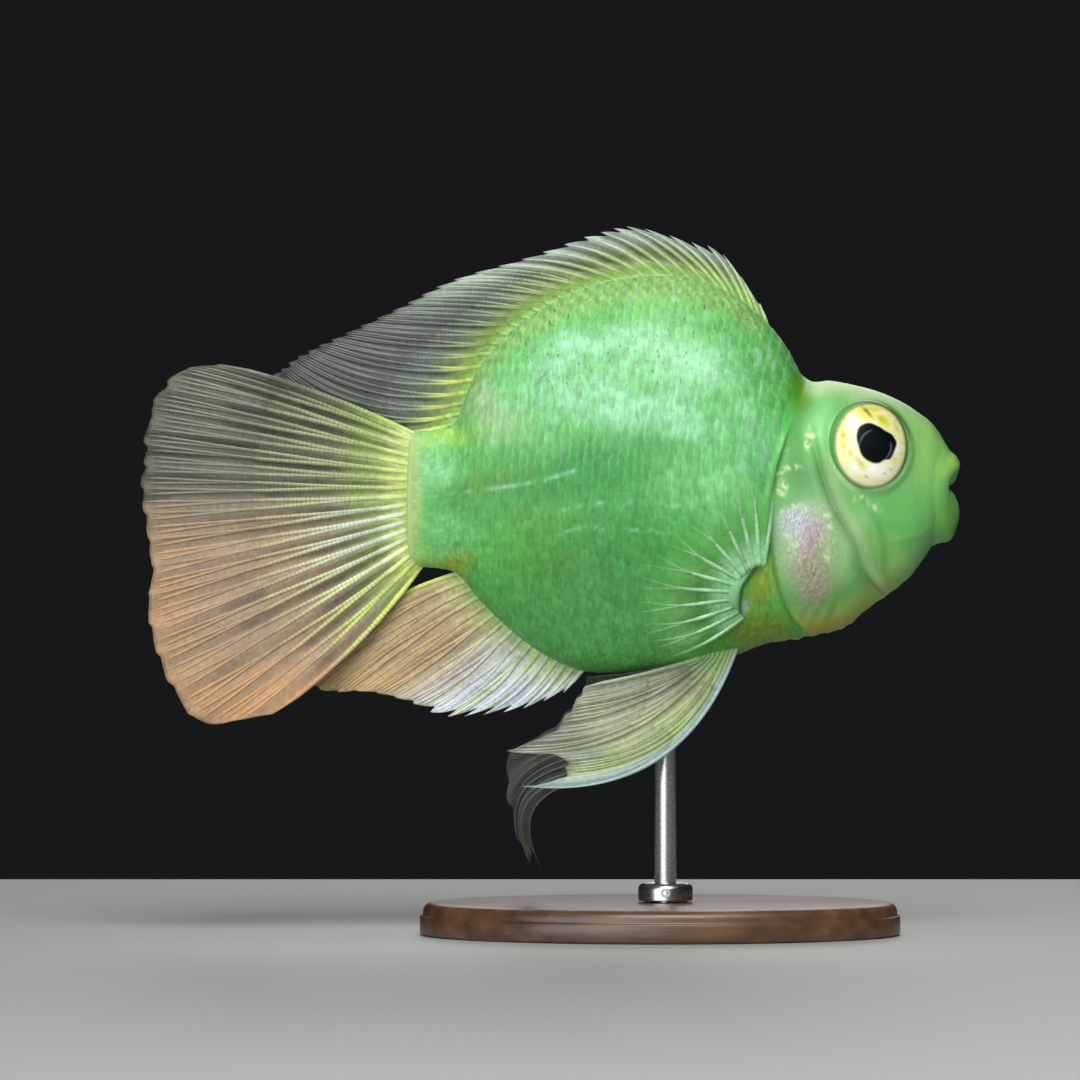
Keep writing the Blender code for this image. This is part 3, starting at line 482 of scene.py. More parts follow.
# Thin broken streaks along the flank, the mint ones painted highlights along rows of scales: colour,
# strength, width, and the points that they run through
STREAKS = [
    ("mint", 0.6, 0.3, [(-44.0, -4.2), (-33.9, -2.7), (-24.3, -1.4), (-14.0, 1.2)]),
    ("deep", 0.5, 0.5, [(-44.0, -3.2), (-33.9, -1.6), (-24.3, -0.2), (-14.0, 2.4)]),
    ("mint", 0.45, 0.25, [(-20.0, -11.0), (-14.0, -9.5), (-7.5, -9.7), (2.0, -10.5)]),
    ("mint", 0.45, 0.25, [(-20.0, -7.0), (-14.7, -5.5), (-7.5, -4.9), (4.0, -5.5)]),
    ("dark", 0.7, 0.45, [(-23.0, 16.0), (-22.0, 17.2), (-20.4, 19.4)]),
    ("deep", 0.6, 0.4, [(-4.0, 32.4), (4.0, 33.0), (12.0, 31.0), (18.0, 26.6)]),
]
# Painted glints, bright flecks on the cheek and behind the eye: centre x and z, half length, half height
FLECKS = [
    (36.3, -4.4, 1.2, 0.7), (38.6, -5.4, 0.9, 0.5), (28.1, 7.7, 1.1, 0.5), (27.2, 5.8, 0.6, 0.9),
    (23.0, 5.2, 0.5, 0.9), (24.2, 1.2, 1.6, 0.45), (22.0, 0.6, 0.9, 0.4), (22.3, -1.5, 0.6, 0.8),
    (21.2, -3.0, 0.7, 0.6), (30.4, -6.4, 1.0, 0.8), (30.9, -8.4, 0.7, 1.1), (22.0, -6.3, 0.7, 0.9),
    (23.9, -4.9, 1.2, 0.6), (26.0, -5.6, 0.8, 0.6), (21.5, -8.6, 0.5, 0.9), (22.3, -11.2, 0.6, 0.8),
    (23.6, -13.0, 0.7, 0.6), (29.3, -11.5, 0.5, 1.0), (29.9, -14.6, 0.5, 0.9), (25.0, -15.0, 0.6, 0.5),
]
# How far the dorsal fin's rays lean back under the skin, and how far apart they are
RIB_SLANT, RIB_STEP = 0.9, 2.3


def soft_patch(x, z, centre_x, centre_z, half_length, half_height, lean=0.0):
    """1 at a patch's centre, falling softly to 0 a little outside its half sizes."""
    turn = math.radians(lean)
    u = ((x - centre_x) * math.cos(turn) + (z - centre_z) * math.sin(turn)) / half_length
    v = (-(x - centre_x) * math.sin(turn) + (z - centre_z) * math.cos(turn)) / half_height
    return np.exp(-((u * u + v * v) ** 1.3))


def lay(colour, palette, *layers):
    """Colours with a palette's dyes laid over them in turn. A layer is a dye's name and its share."""
    for name, share in layers:
        share = np.clip(share + np.zeros(colour.shape[:-1]), 0, 1)
        colour = colour + (palette[name] - colour) * share[..., None]
    return colour


def flesh_colours(points):
    """The skin's colour at points: dye with painted highlights, glints and shade, and how pearly, flecked
    and scaly it is.
    """
    x, y, z = np.moveaxis(points, -1, 0)
    drift_x = x + 2.4 * (wander(x / 4, z / 4, 11) - 0.5)
    drift_z = z + 2.4 * (wander(x / 4, z / 4, 12) - 0.5)
    gill, crease, fold = (off_line(line, x, z) for line in (GILL_LINE, CREASE_LINE, CHEEK_FOLD))
    on_head = ramp(gill, -0.4, 0.6)
    on_body = (1 - on_head) * ramp(x, -44, -36)
    mottle = ramp(0.6 * wander(x / 1.7, z / 1.5, 23) + 0.4 * wander(x / 0.55, z / 2.2, 24), 0.25, 0.7)
    layers = [("face", on_head)]
    for name, strength, *patch in PATCHES:
        on_this_part = on_head if patch[0] > 27.0 else 1.0 - 0.6 * on_head * (patch[0] < 19)
        share = strength * soft_patch(drift_x, drift_z, *patch) * on_this_part
        if name in ("mint", "pale") and patch[0] < 27.0:
            share = share * (0.5 + 0.85 * mottle)
        layers.append((name, share))
    # Fine vertical streaks: the mint ones on the upper flank are painted highlights on the scales' rear
    # edges, and the deep ones darken the colour lower down
    streak, cloud = wander(x / 0.75, z / 3.2, 21), wander(x / 3.0, z / 2.2, 22)
    layers.append(("mint", on_body * 0.45 * ramp(streak * cloud, 0.34, 0.75) * ramp(z, 0, 15)))
    layers.append(("deep", on_body * 0.35 * ramp(1 - streak, 0.55, 0.95) * fade(z, 10, 26)))
    for name, strength, width, course in STREAKS:
        above, beside = off_course(course, x, z)
        gaps = ramp(wander(x / (0.8 if name == "dark" else 1.6), z / 3, 25), 0.15, 0.75)
        layers.append((name, strength * bell(above, 0, width) * beside * on_body * gaps))
    # The dorsal fin's rays show through the skin of the back as ribs, each with a painted highlight along
    # it and a painted shadow line behind
    under_fin = smooth(BACK_LINE, x) - z
    behind_rib = (x - RIB_SLANT * under_fin) / RIB_STEP % 1.0
    fin_base = fade(under_fin, 2.0, 6.5) * ramp(x, -37, -33) * fade(x, 17, 20) * (z > 5)
    low_face = ramp(z, -24, -20) * fade(z, -2.0, 6.0) * on_head
    above_jaw, beside_jaw = off_course(JAW_LINE, x, z)
    under_eye, beside_eye = off_course(EYE_LINE, x, z)
    layers += [
        ("sheath", 0.75 * fin_base), ("rib", 0.6 * fin_base * bell(behind_rib, 0.35, 0.16)),
        ("moss", 0.5 * fin_base * bell(behind_rib, 0.72, 0.12)),
        # Painted shade darkens the cheek's crease and fold, the jaw line and the gill opening, and a
        # painted glint runs along the line under the eye
        ("dark", 0.55 * bell(crease, 0, 0.35) * low_face),
        ("sand", 0.4 * bell(crease, 1.6, 1.2) * low_face), ("dark", 0.10 * bell(fold, 0, 0.5) * low_face),
        ("dark", 0.12 * bell(above_jaw, 0, 0.5) * beside_jaw * on_head),
        ("glint", 0.5 * bell(under_eye, 0, 0.45) * beside_eye * on_head),
        ("dark", 0.5 * bell(gill, -0.2, 0.35) * ramp(z, -29, -24) * fade(z, 0.0, 8.0)),
    ]
    pearl = np.zeros_like(x)
    crumbled = ramp(wander(x / 0.55 + 0.4 * z, z / 0.55, 27), 0.3, 0.65)
    for name, strength, *patch in OPAL:
        share = strength * soft_patch(drift_x, drift_z, *patch) * on_head
        pearl = np.maximum(pearl, share)
        layers.append((name, share))
    for fleck in FLECKS:
        share = 0.85 * soft_patch(drift_x, drift_z, *fleck) * on_head * crumbled
        pearl = np.maximum(pearl, 0.7 * share)
        layers.append(("glint", share))
    from_eye = np.hypot((x - EYE_X) / EYE_HALF_LENGTH, (z - EYE_Z) / EYE_HALF_HEIGHT)
    layers += [
        # Painted shade: a dark ring round the eye's socket and the dark of the mouth's slit
        ("dark", 0.75 * bell(from_eye, 0.9, 0.07)),
        ("mouth", soft_patch(x, z, 52.0, MOUTH_Z, 2.0, 0.8) * (np.abs(y) < 4.4)),
        ("joint", fade(x + 0.7 * wander(0 * x + 0.5, z / 1.3, 26), -45.2, -42.4)),
    ]
    specks = ramp(z, 12, 18) * fade(z, 31, 34) * ramp(x, -30, -24) * fade(x, 16, 20) * (1 - on_head)
    specks = np.maximum(specks, 0.8 * fade(z, -30, -25) * ramp(x, -18, -10) * fade(x, 4, 11))
    colour = lay(np.broadcast_to(SKIN_COLOURS["leaf"], (*x.shape, 3)), SKIN_COLOURS, *layers)
    return colour, np.stack([pearl, specks, on_body], -1)


angles = np.linspace(0, 2 * math.pi, SKIN_AROUND, endpoint=False)
bow = np.cos(angles) ** 2
tail_x = TAIL_END_X + TAIL_END_BOW * bow
gill_x = where_line_meets(GILL_LINE, angles, 0.0, 45.0)
crease_x = np.maximum(where_line_meets(CREASE_LINE, angles, 10.0, 52.0), gill_x + 3.0)
muzzle_x = np.maximum(where_line_meets(MUZZLE_LINE, angles, 40.0, 52.9), crease_x + 1.0)
body_share = np.linspace(0, 1, SKIN_RINGS["body"])[:, None]
ring_x = [tail_x + (gill_x - 1.4 - tail_x) * body_share]
ring_x += [(gill_x - step)[None] for step in GROOVE_OFFSETS]
ring_x += [(gill_x + step)[None] for step in GROOVE_OFFSETS[-2::-1]]
cover_start = gill_x + 1.1
for start, end, count in (
    (cover_start, crease_x, SKIN_RINGS["cover"]), (crease_x, muzzle_x, SKIN_RINGS["cheek"])
):
    ring_x.append(start + (end - start) * np.linspace(0, 1, count + 1)[1:, None])
ring_x = np.concatenate(ring_x)
skin = body_point(ring_x, angles[None, :])
skin = skin + grid_normals(skin) * flesh_relief(skin)[..., None]
behind_gill = fade(off_line(GILL_LINE, skin[..., 0], skin[..., 2]), -2.5, -0.5)
under_scales = ramp(skin[..., 0], -45, -42) * behind_gill
skin = skin - grid_normals(skin) * (SCALE_DEPTH * under_scales)[..., None]

for side in (-1, 1):
    centre, forward, up, out = eye_axes(side)
    offset = skin - centre
    from_eye = np.hypot(offset @ forward / EYE_HALF_LENGTH, offset @ up / EYE_HALF_HEIGHT)
    near = (np.sign(skin[..., 1]) == side) & (from_eye < 1.6)
    rise = ORBIT_RISE * bell(from_eye, 1.0, ORBIT_WIDTH)
    rise -= (offset @ out + SOCKET_DEPTH) * fade(from_eye, 0.78, 0.91)
    skin = skin + out * (rise * near)[..., None]

mouth_share = np.linspace(0, 1, SKIN_RINGS["mouth"] + 1)[:, None]
up_share, side_share = np.cos(angles), np.sin(angles)


def lip_path(rows, pick):
    return table_line(rows, pick, mouth_share)


lip_above = np.where(up_share > 0, lip_path(UPPER_LIP, 2), lip_path(LOWER_LIP, 2))
lip_ahead = np.where(up_share > 0, lip_path(UPPER_LIP, 1), lip_path(LOWER_LIP, 1))
level = fade(mouth_share, 0, 0.9) * (lip_path(UPPER_LIP, 2)[0] + lip_path(LOWER_LIP, 2)[0]) / 2
level = level + ramp(mouth_share, 0, 0.9) * MOUTH_Z
lips = np.stack([
    lip_ahead * up_share**2 + lip_path(LIP_CORNER, 1) * side_share**2,
    np.sign(side_share) * np.abs(side_share) ** LIP_POWER * lip_path(LIP_CORNER, 2),
    level + np.abs(up_share) ** LIP_POWER * (lip_above - level),
], -1)
lips = lips + (skin[-1] - lips[0]) * ((1 - mouth_share) ** 2)[..., None]
throat_end = lips[-1].copy()
throat_end[:, 0] -= 0.4
throat_end[:, 0] = throat_end[:, 0].mean()
throat_end[:, 2] = MOUTH_Z

turn = np.linspace(math.pi / 2, 0, SKIN_RINGS["tail"], endpoint=False)[:, None]
tail_end = np.stack([
    skin[0, :, 0] - TAIL_END_ROUND * np.sin(turn), skin[0, :, 1] * np.cos(turn) * (np.cos(turn) > 1e-6),
    np.broadcast_to(skin[0, :, 2], (len(turn), SKIN_AROUND)),
], -1)
skin = np.concatenate([tail_end, skin, lips[1:], throat_end[None]])

body_skin = mesh_piece("body_skin", skin, grid_faces(len(skin), SKIN_AROUND))
turn_outwards(body_skin, merge=0.004)
for layer, values in zip(("dye_and_painted_light", "marks"), flesh_colours(points_of(body_skin))):
    give_colours(body_skin, layer, values)


def times(tree, first, second, operation="MULTIPLY", clamp=False):
    return add_node(tree, "Math", {0: first, 1: second}, operation=operation, use_clamp=clamp).outputs[0]


def plus(tree, first, second):
    return times(tree, first, second, "ADD")


def remap(tree, value, start=(0, 1), end=(0, 1)):
    """A value stretched from one range to another, and held at its ends."""
    return add_node(tree, "MapRange", {0: value, 1: start[0], 2: start[1], 3: end[0], 4: end[1]}).outputs[0]


def toned(tree, colour, factor, share=1.0):
    """A colour multiplied by a factor."""
    grey = add_node(tree, "CombineColor", {0: factor, 1: factor, 2: factor}).outputs[0]
    return mix_colours(tree, share, colour, grey, "MULTIPLY")


def roughen(tree, shader, height, strength, distance):
    bump = add_node(tree, "Bump", {"Height": height, "Strength": strength, "Distance": distance})
    feed(tree, shader, bump.outputs[0], "Normal")


def carried(tree, name, output="Color"):
    """What a mesh carries at each point under a name."""
    return add_node(tree, "Attribute", attribute_name=name).outputs[output]


def flesh_material(name, roughness):
    """Dyed fish skin: the dye with painted highlights and shade, fine streaks, flecks, pearl on the gill
    cover and a wet coat.
    """
    made, tree, shader = new_material(
        name, roughness, Subsurface_Weight=0.22, Subsurface_Radius=(0.6, 1.0, 0.45),
        Subsurface_Scale=0.0022, Coat_Weight=0.15, Coat_Roughness=0.25, Specular_IOR_Level=0.32)
    dye_and_painted_light, marks = carried(tree, "dye_and_painted_light"), carried(tree, "marks")
    pearl, specks, on_body = add_node(tree, "SeparateColor", {0: marks}).outputs
    # Fine vertical streaks tone the colour lighter and darker, partly as painted highlight on the scales'
    # edges
    streaks = stretched_noise(tree, (1.0, 0.35, 0.26), 1900.0)
    streak_share = plus(tree, times(tree, on_body, 0.8), 0.2)
    shade = times(tree, remap(tree, streaks, (0.3, 0.7), (-0.2, 0.2)), streak_share)
    spots = remap(tree, stretched_noise(tree, (1.5, 0.4, 0.45), 1500.0, 1.0), (0.68, 0.73))
    spots = times(tree, times(tree, spots, specks), 0.75)
    colour = mix_colours(tree, spots, toned(tree, dye_and_painted_light, plus(tree, shade, 1.0)), (0.02, 0.09, 0.03))
    crinkle = stretched_noise(tree, (1.0, 1.0, 0.7), 2200.0, detail=4.0)
    opal = mix_colours(tree, remap(tree, crinkle, (0.42, 0.62)), (0.36, 0.28, 0.30), (0.92, 0.98, 0.90))
    colour = mix_colours(tree, times(tree, pearl, 0.36), colour, opal)
    feed(tree, shader, colour)
    feed(tree, shader, times(tree, pearl, 0.45), "Metallic")
    height = plus(tree, times(tree, streaks, 0.35), times(tree, times(tree, crinkle, pearl), 2.5))
    roughen(tree, shader, height, 0.5, 0.0002)
    return made


body_skin.data.materials.append(flesh_material("dyed_fish_skin", 0.48))
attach(body_skin, "root")
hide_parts("head", "trunk", "caudal_peduncle")


# Scales
# Small overlapping scales cover the body behind the gill cover, in rows that follow the back and belly and
# narrow towards the tail. Each is a thin horny plate, rooted in the skin at the front and free at its rear
# edge, and takes the dye of the skin under it, with a rim of painted highlight on the upper flank and of
# painted shade lower down.
SCALE_ROWS = 42
SCALE_LENGTHS = [(-45.5, 0.9), (-38.0, 1.1), (-28.0, 1.35), (0.0, 1.5), (26.0, 1.4)]
SCALE_OVERLAP, SCALE_SPREAD = 1.85, 1.28
SCALE_ACROSS, SCALE_ALONG = 5, 5
SCALE_SINK, SCALE_LIFT, SCALE_DOME, SCALE_SKIRT = 0.12, 0.035, 0.02, 0.18
PATCH_SIZE = 0.003
body_part = slice(SKIN_RINGS["tail"], SKIN_RINGS["tail"] + SKIN_RINGS["body"])
body_rings, body_normals = skin[body_part], grid_normals(skin)[body_part]
body_normals *= np.sign(body_normals[:, SKIN_AROUND // 4, 1].mean())
side_rings = np.arange(SKIN_AROUND // 2 + 1)
chance = np.random.default_rng(7)


def at_ring(values, ring, around):
    """Values of a ring grid at fractional rings and places round them."""
    i = np.clip(np.floor(ring).astype(int), 0, len(values) - 2)
    j = np.floor(around).astype(int)
    s, t = (ring - i)[..., None], (around - j)[..., None]
    j, k = j % SKIN_AROUND, (j + 1) % SKIN_AROUND
    return (values[i, j] * (1 - t) + values[i, k] * t) * (1 - s) + (
        values[i + 1, j] * (1 - t) + values[i + 1, k] * t) * s


def grid_edge(rows, columns):
    """The points round a grid's edge, in order."""
    places = np.arange(rows * columns).reshape(rows, columns)
    return np.concatenate([places[0], places[1:, -1], places[-1, -2::-1], places[-2:0:-1, 0]])


def halved(quads):
    return np.concatenate([quads[:, [0, 1, 2]], quads[:, [0, 2, 3]]])


girth = np.linalg.norm(np.diff(body_rings[:, side_rings], axis=1), axis=-1)
girth = np.concatenate([np.zeros((len(girth), 1)), np.cumsum(girth, axis=1)], axis=1)
midline = body_rings[:, SKIN_AROUND // 4, 0]
columns, place = [], 0.6
while place < len(body_rings) - 1.5:
    columns.append(place)
    step = smooth(SCALE_LENGTHS, np.interp(place, np.arange(len(midline)), midline))
    place += float(step) / (midline[-1] - midline[0]) * (len(body_rings) - 1)
columns = np.array(columns)
column_index, row_index = np.meshgrid(np.arange(len(columns)), np.arange(SCALE_ROWS), indexing="ij")
row_share = (row_index + 0.25 + 0.5 * (column_index % 2)) / (SCALE_ROWS + 0.5)
ring_place = columns[column_index] + chance.normal(0, 0.16, row_share.shape)
row_share = row_share + chance.normal(0, 0.0011, row_share.shape)
ring_step = np.gradient(columns)[column_index]
size = chance.uniform(0.94, 1.06, row_share.shape)
tilt = chance.normal(0, 0.05, row_share.shape)
lift = chance.uniform(0.75, 1.25, row_share.shape)
tint = chance.uniform(0.89, 1.11, row_share.shape)

# One scale's own outline: u runs from its root, -0.5, to its free rear edge, and v across it
u, v = np.meshgrid(np.linspace(-0.5, 0.5, SCALE_ALONG), np.linspace(-0.5, 0.5, SCALE_ACROSS), indexing="ij")
rounding = np.sqrt(np.clip(1 - (2 * v * 0.93) ** 2, 0, 1))
u_shape = np.where(u > 0, u * (0.42 + 0.58 * rounding), u)
v_shape = v * (1 - 0.14 * np.clip(-2 * u, 0, 1))
rise = -SCALE_SINK + (SCALE_SINK + SCALE_LIFT) * (u_shape + 0.5) + SCALE_DOME * (1 - 4 * v**2)
rim_share = ramp(np.hypot(u_shape * 1.1 + 0.05, v_shape * 0.8), 0.34, 0.5) * (u > 0)


def make_scales(name, side):
    """All scales of one side as one mesh of small closed plates."""
    lean, reach = tilt[..., None, None], (ring_step * SCALE_OVERLAP * size)[..., None, None]
    spread = (SCALE_SPREAD * size / SCALE_ROWS)[..., None, None]
    ring = ring_place[..., None, None] - (u_shape + lean * v_shape) * reach
    share = row_share[..., None, None] + (v_shape - lean * u_shape) * spread
    ring = np.clip(ring, 0.02, len(body_rings) - 1.05)
    share = np.clip(share, 0.001, 0.999)
    ring_floor = np.floor(ring).astype(int)
    lengths = girth[ring_floor, -1]
    around = np.empty_like(share)
    for index in np.unique(ring_floor):
        here = ring_floor == index
        around[here] = np.interp(share[here] * lengths[here], girth[index], side_rings)
    around = around if side > 0 else SKIN_AROUND - around
    spots, normals = at_ring(body_rings, ring, around), unit(at_ring(body_normals, ring, around))
    grown = np.minimum(reach * (midline[-1] - midline[0]) / len(body_rings) / 3.0, 1.0)
    top = spots + normals * (rise * grown * lift[..., None, None] + SCALE_DEPTH)[..., None]
    low = spots - normals * SCALE_SKIRT
    count = SCALE_ALONG * SCALE_ACROSS
    top, low = top.reshape(-1, count, 3), low.reshape(-1, count, 3)
    edge = grid_edge(SCALE_ALONG, SCALE_ACROSS)
    points = np.concatenate([top, low[:, edge], low.mean(axis=1, keepdims=True)], axis=1)
    below, middle = count + np.arange(len(edge)), np.full(len(edge), count + len(edge))
    below_next = np.roll(below, -1)
    walls = [(edge, below, below_next), (edge, below_next, np.roll(edge, -1)), (below, middle, below_next)]
    walls = np.concatenate([np.stack(wall, -1) for wall in walls])
    faces = grid_faces(SCALE_ALONG, SCALE_ACROSS, closed=False)
    faces = np.concatenate([halved(faces[:, ::-side]), walls[:, ::side]])
    stride = points.shape[1]
    all_faces = (faces[None] + (np.arange(len(points)) * stride)[:, None, None]).reshape(-1, 3)
    piece = mesh_piece(name, points.reshape(-1, 3), all_faces)
    piece.data.set_sharp_from_angle(angle=math.radians(50))
    colours, marks = flesh_colours(points_of(piece))
    rim = np.zeros((len(points), stride))
    rim[:, :count] = rim_share.ravel()
    rim = rim.reshape(-1)
    # Painted highlight on the rims of the upper scales and painted shade on those of the lower ones
    lit_above = ramp(points.reshape(-1, 3)[:, 2], -12, 12)
    colours = lay(colours, SKIN_COLOURS, ("mint", 0.22 * rim * lit_above), ("deep", 0.12 * rim * (1 - lit_above)))
    colours = colours * np.repeat(tint.ravel(), stride)[:, None]
    give_colours(piece, "dye_and_painted_light", colours)
    give_colours(piece, "marks", marks)
    uv = piece.data.uv_layers.new(name="OFBake")
    roots = np.stack([(ring_place / len(body_rings)).ravel(), (0.5 + side * 0.5 * row_share).ravel()], -1)
    own = np.zeros((stride, 2))
    own[:count] = np.stack([-u_shape.ravel(), v_shape.ravel()], -1)
    own[count:count + len(edge)] = own[edge] * 1.1
    places = (roots[:, None, :] + own[None] * PATCH_SIZE).reshape(-1, 2)
    corner = np.empty(len(piece.data.loops), np.int32)
    piece.data.loops.foreach_get("vertex_index", corner)
    uv.data.foreach_set("uv", places[corner].astype(np.float32).ravel())
    piece.data.materials.append(scale_finish)
    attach(piece, "root")


scale_finish = flesh_material("dyed_scales", 0.48)
make_scales("scales_right", -1)
make_scales("scales_left", 1)


# Eyes
# Each eye is a low glassy globe: a near-black pupil with an uneven edge in a broad cream iris with yellow
# clouds and a few dark specks, ringed by a thin dark line that is partly painted shade. Painted reflections
# gleam at the lens's edge and painted glare whitens parts of the iris. The clear wet cornea is a glossy
# coat over it.
EYE_AROUND, EYE_RINGS, EYE_BACK = 256, 128, 6.0
EYE_COLOURS = named_colours(
    cream=(240, 240, 196), white=(250, 248, 240), lemon=(228, 224, 92), yellow=(200, 192, 26),
    gold=(180, 172, 56), pupil=(4, 6, 6), lid=(96, 158, 88), lens=(8, 16, 20), ring=(58, 96, 30),
    rust=(176, 120, 84), olive=(84, 88, 26), gleam=(116, 122, 134), sand=(222, 206, 150),
)
# The eye's disc in the side view, its centre and half sizes. Its markings are laid out on that disc.
DISC_CENTRE, DISC_HALF = (38.07, 5.53), (6.65, 7.65)
# The lens, and the pupil's edge round it as how far out it lies at angles in degrees from straight ahead
LENS_CENTRE, LENS_SIZE, DISC_NARROWING = (0.10, -0.026), 0.37, 0.87
PUPIL_EDGE = [
    (-43, 0.475), (-13, 0.483), (12, 0.53), (31, 0.494), (55, 0.442), (82, 0.475), (108, 0.577),
    (129, 0.586), (157, 0.485), (177, 0.416), (216, 0.396), (248, 0.40), (277, 0.413), (307, 0.424),
    (317, 0.475),
]
# Clouds on the iris's disc: colour, strength, centre across and up, half sizes and lean. The white ones at
# its upper and lower left are painted glare.
IRIS_CLOUDS = [
    ("white", 0.8, -0.56, 0.60, 0.16, 0.18, 40), ("white", 0.9, -0.50, -0.56, 0.12, 0.12, 0),
    ("white", 0.9, 0.12, -0.60, 0.42, 0.16, 0), ("white", 0.9, 0.76, -0.08, 0.12, 0.22, 0),
    ("lemon", 0.9, -0.16, 0.80, 0.26, 0.12, 0), ("gold", 0.7, 0.0, 0.86, 0.34, 0.07, 0),
    ("lemon", 0.8, -0.08, 0.64, 0.18, 0.10, 0), ("lemon", 0.7, 0.36, 0.52, 0.34, 0.14, -36),
    ("yellow", 0.95, 0.30, 0.61, 0.20, 0.09, -34), ("yellow", 0.8, 0.70, 0.42, 0.05, 0.12, 30),
    ("lemon", 0.8, -0.78, 0.10, 0.08, 0.30, 0), ("yellow", 0.8, -0.77, 0.22, 0.06, 0.08, 0),
    ("yellow", 0.5, -0.77, -0.02, 0.05, 0.08, 0), ("gold", 0.45, -0.58, 0.45, 0.14, 0.05, 26),
    ("lemon", 0.8, -0.60, -0.20, 0.09, 0.08, 0), ("yellow", 0.55, -0.32, -0.44, 0.20, 0.07, -50),
    ("lemon", 0.7, -0.24, -0.50, 0.10, 0.10, 0), ("rust", 0.6, -0.15, -0.755, 0.07, 0.03, -20),
    ("rust", 0.5, 0.35, -0.68, 0.05, 0.03, 0), ("rust", 0.55, 0.53, -0.58, 0.05, 0.04, 0),
    ("sand", 0.8, 0.60, -0.33, 0.10, 0.08, 40), ("sand", 0.5, 0.62, 0.22, 0.08, 0.05, -40),
    ("olive", 0.95, -0.13, 0.80, 0.2, 0.05, -44), ("sand", 0.4, 0.70, 0.10, 0.06, 0.10, 0),
]


def iris_colours(across, up):
    """The eye's colours by place on its disc in the side view, from -1 to 1 forward and up."""
    ahead, above = (across - LENS_CENTRE[0]) * DISC_NARROWING, up - LENS_CENTRE[1]
    reach, turn = np.hypot(ahead, above), np.arctan2(above, ahead)
    degrees = (np.degrees(turn) + 43) % 360 - 43
    edge = smooth(PUPIL_EDGE, degrees) + 0.02 * (wander(turn * 3, 0 * turn, 33) - 0.5)
    cloud, speckle = wander(across * 11, up * 11, 31), wander(across * 26, up * 26, 32)
    clouds = [(name, strength * soft_patch(across, up, *spot) * (0.75 + 0.6 * cloud))
              for name, strength, *spot in IRIS_CLOUDS]
    from_middle, upper = np.hypot(across, up), 0.25 + 0.75 * ramp(up, -0.7, 0.1)
    # lit marks where painted reflections gleam at the lens's edge; shaded marks where painted shade deepens
    # and widens the dark ring at the rim, towards the upper front
    lit = np.maximum(ramp(np.cos(turn - 2.45), 0.7, 1), ramp(np.cos(turn + 0.35), 0.75, 1))
    shaded = ramp(np.cos(np.arctan2(up, across) - 0.55), -0.2, 0.9)
    return lay(
        np.broadcast_to(EYE_COLOURS["cream"], (*across.shape, 3)), EYE_COLOURS, *clouds,
        ("lemon", 0.55 * upper * ramp(from_middle, 0.6, 0.9) * ramp(cloud, 0.1, 0.7)),
        ("yellow", 0.45 * upper * ramp(speckle, 0.6, 0.85) * ramp(from_middle, 0.5, 0.8)),
        ("white", 0.35 * bell(reach - edge, 0.02, 0.03)),
        ("pupil", fade(reach, edge - 0.025, edge + 0.025)),
        ("lens", fade(reach, LENS_SIZE - 0.03, LENS_SIZE) * 0.7),
        ("gleam", 0.75 * bell(reach - LENS_SIZE, 0.01, 0.016) * lit),
        ("ring", ramp(from_middle, 0.95 - 0.05 * shaded, 1.0) * (0.55 + 0.45 * shaded)),
        ("lid", ramp(from_middle, 1.0, 1.05)))


def unit_ball(name, around, rings):
    """A ball of radius 1 as an object, and its points."""
    bpy.ops.mesh.primitive_uv_sphere_add(segments=around, ring_count=rings, radius=1.0)
    piece = bpy.context.object
    piece.name = piece.data.name = name
    points = np.empty(len(piece.data.vertices) * 3)
    piece.data.vertices.foreach_get("co", points)
    return piece, points.reshape(-1, 3)


def move_points(piece, points):
    """Sets a mesh's points in millimetres about the body's axis."""
    piece.data.vertices.foreach_set("co", ((points + np.array([0, 0, AXIS_HEIGHT])) * MM).ravel())
    turn_outwards(piece)
    bpy.ops.object.shade_smooth()


eye_finish, tree, shader = new_material(
    "wet_eye", 0.4, Coat_Weight=0.7, Coat_Roughness=0.03, Coat_IOR=1.4, Specular_IOR_Level=0.15)
fibres = remap(tree, stretched_noise(tree, (1, 1, 1), 2600.0), end=(0.82, 1.12))
feed(tree, shader, toned(tree, carried(tree, "dye_and_painted_light"), fibres, 0.8))

for side, name in ((-1, "right"), (1, "left")):
    globe, ball = unit_ball("eye_globe_" + name, EYE_AROUND, EYE_RINGS)
    centre, forward, upward, out = eye_axes(side)
    across, up, outward = ball.T
    spots = centre + np.outer(across * EYE_HALF_LENGTH, forward) + np.outer(up * EYE_HALF_HEIGHT, upward)
    spots += np.outer(outward * np.where(outward > 0, EYE_BULGE, EYE_BACK), out)
    move_points(globe, spots)
    give_colours(globe, "dye_and_painted_light", iris_colours(
        (spots[:, 0] - DISC_CENTRE[0]) / DISC_HALF[0], (spots[:, 2] - DISC_CENTRE[1]) / DISC_HALF[1]))
    globe.data.materials.append(eye_finish)
    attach(globe, "root")
    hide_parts("eye_" + name)


# Fins
# Each fin is a thin clear membrane stretched between rays that run from a fleshy foot to its edge. Spines
# are plain and pointed. Soft rays are jointed like strings of beads and fork once or twice on their way.

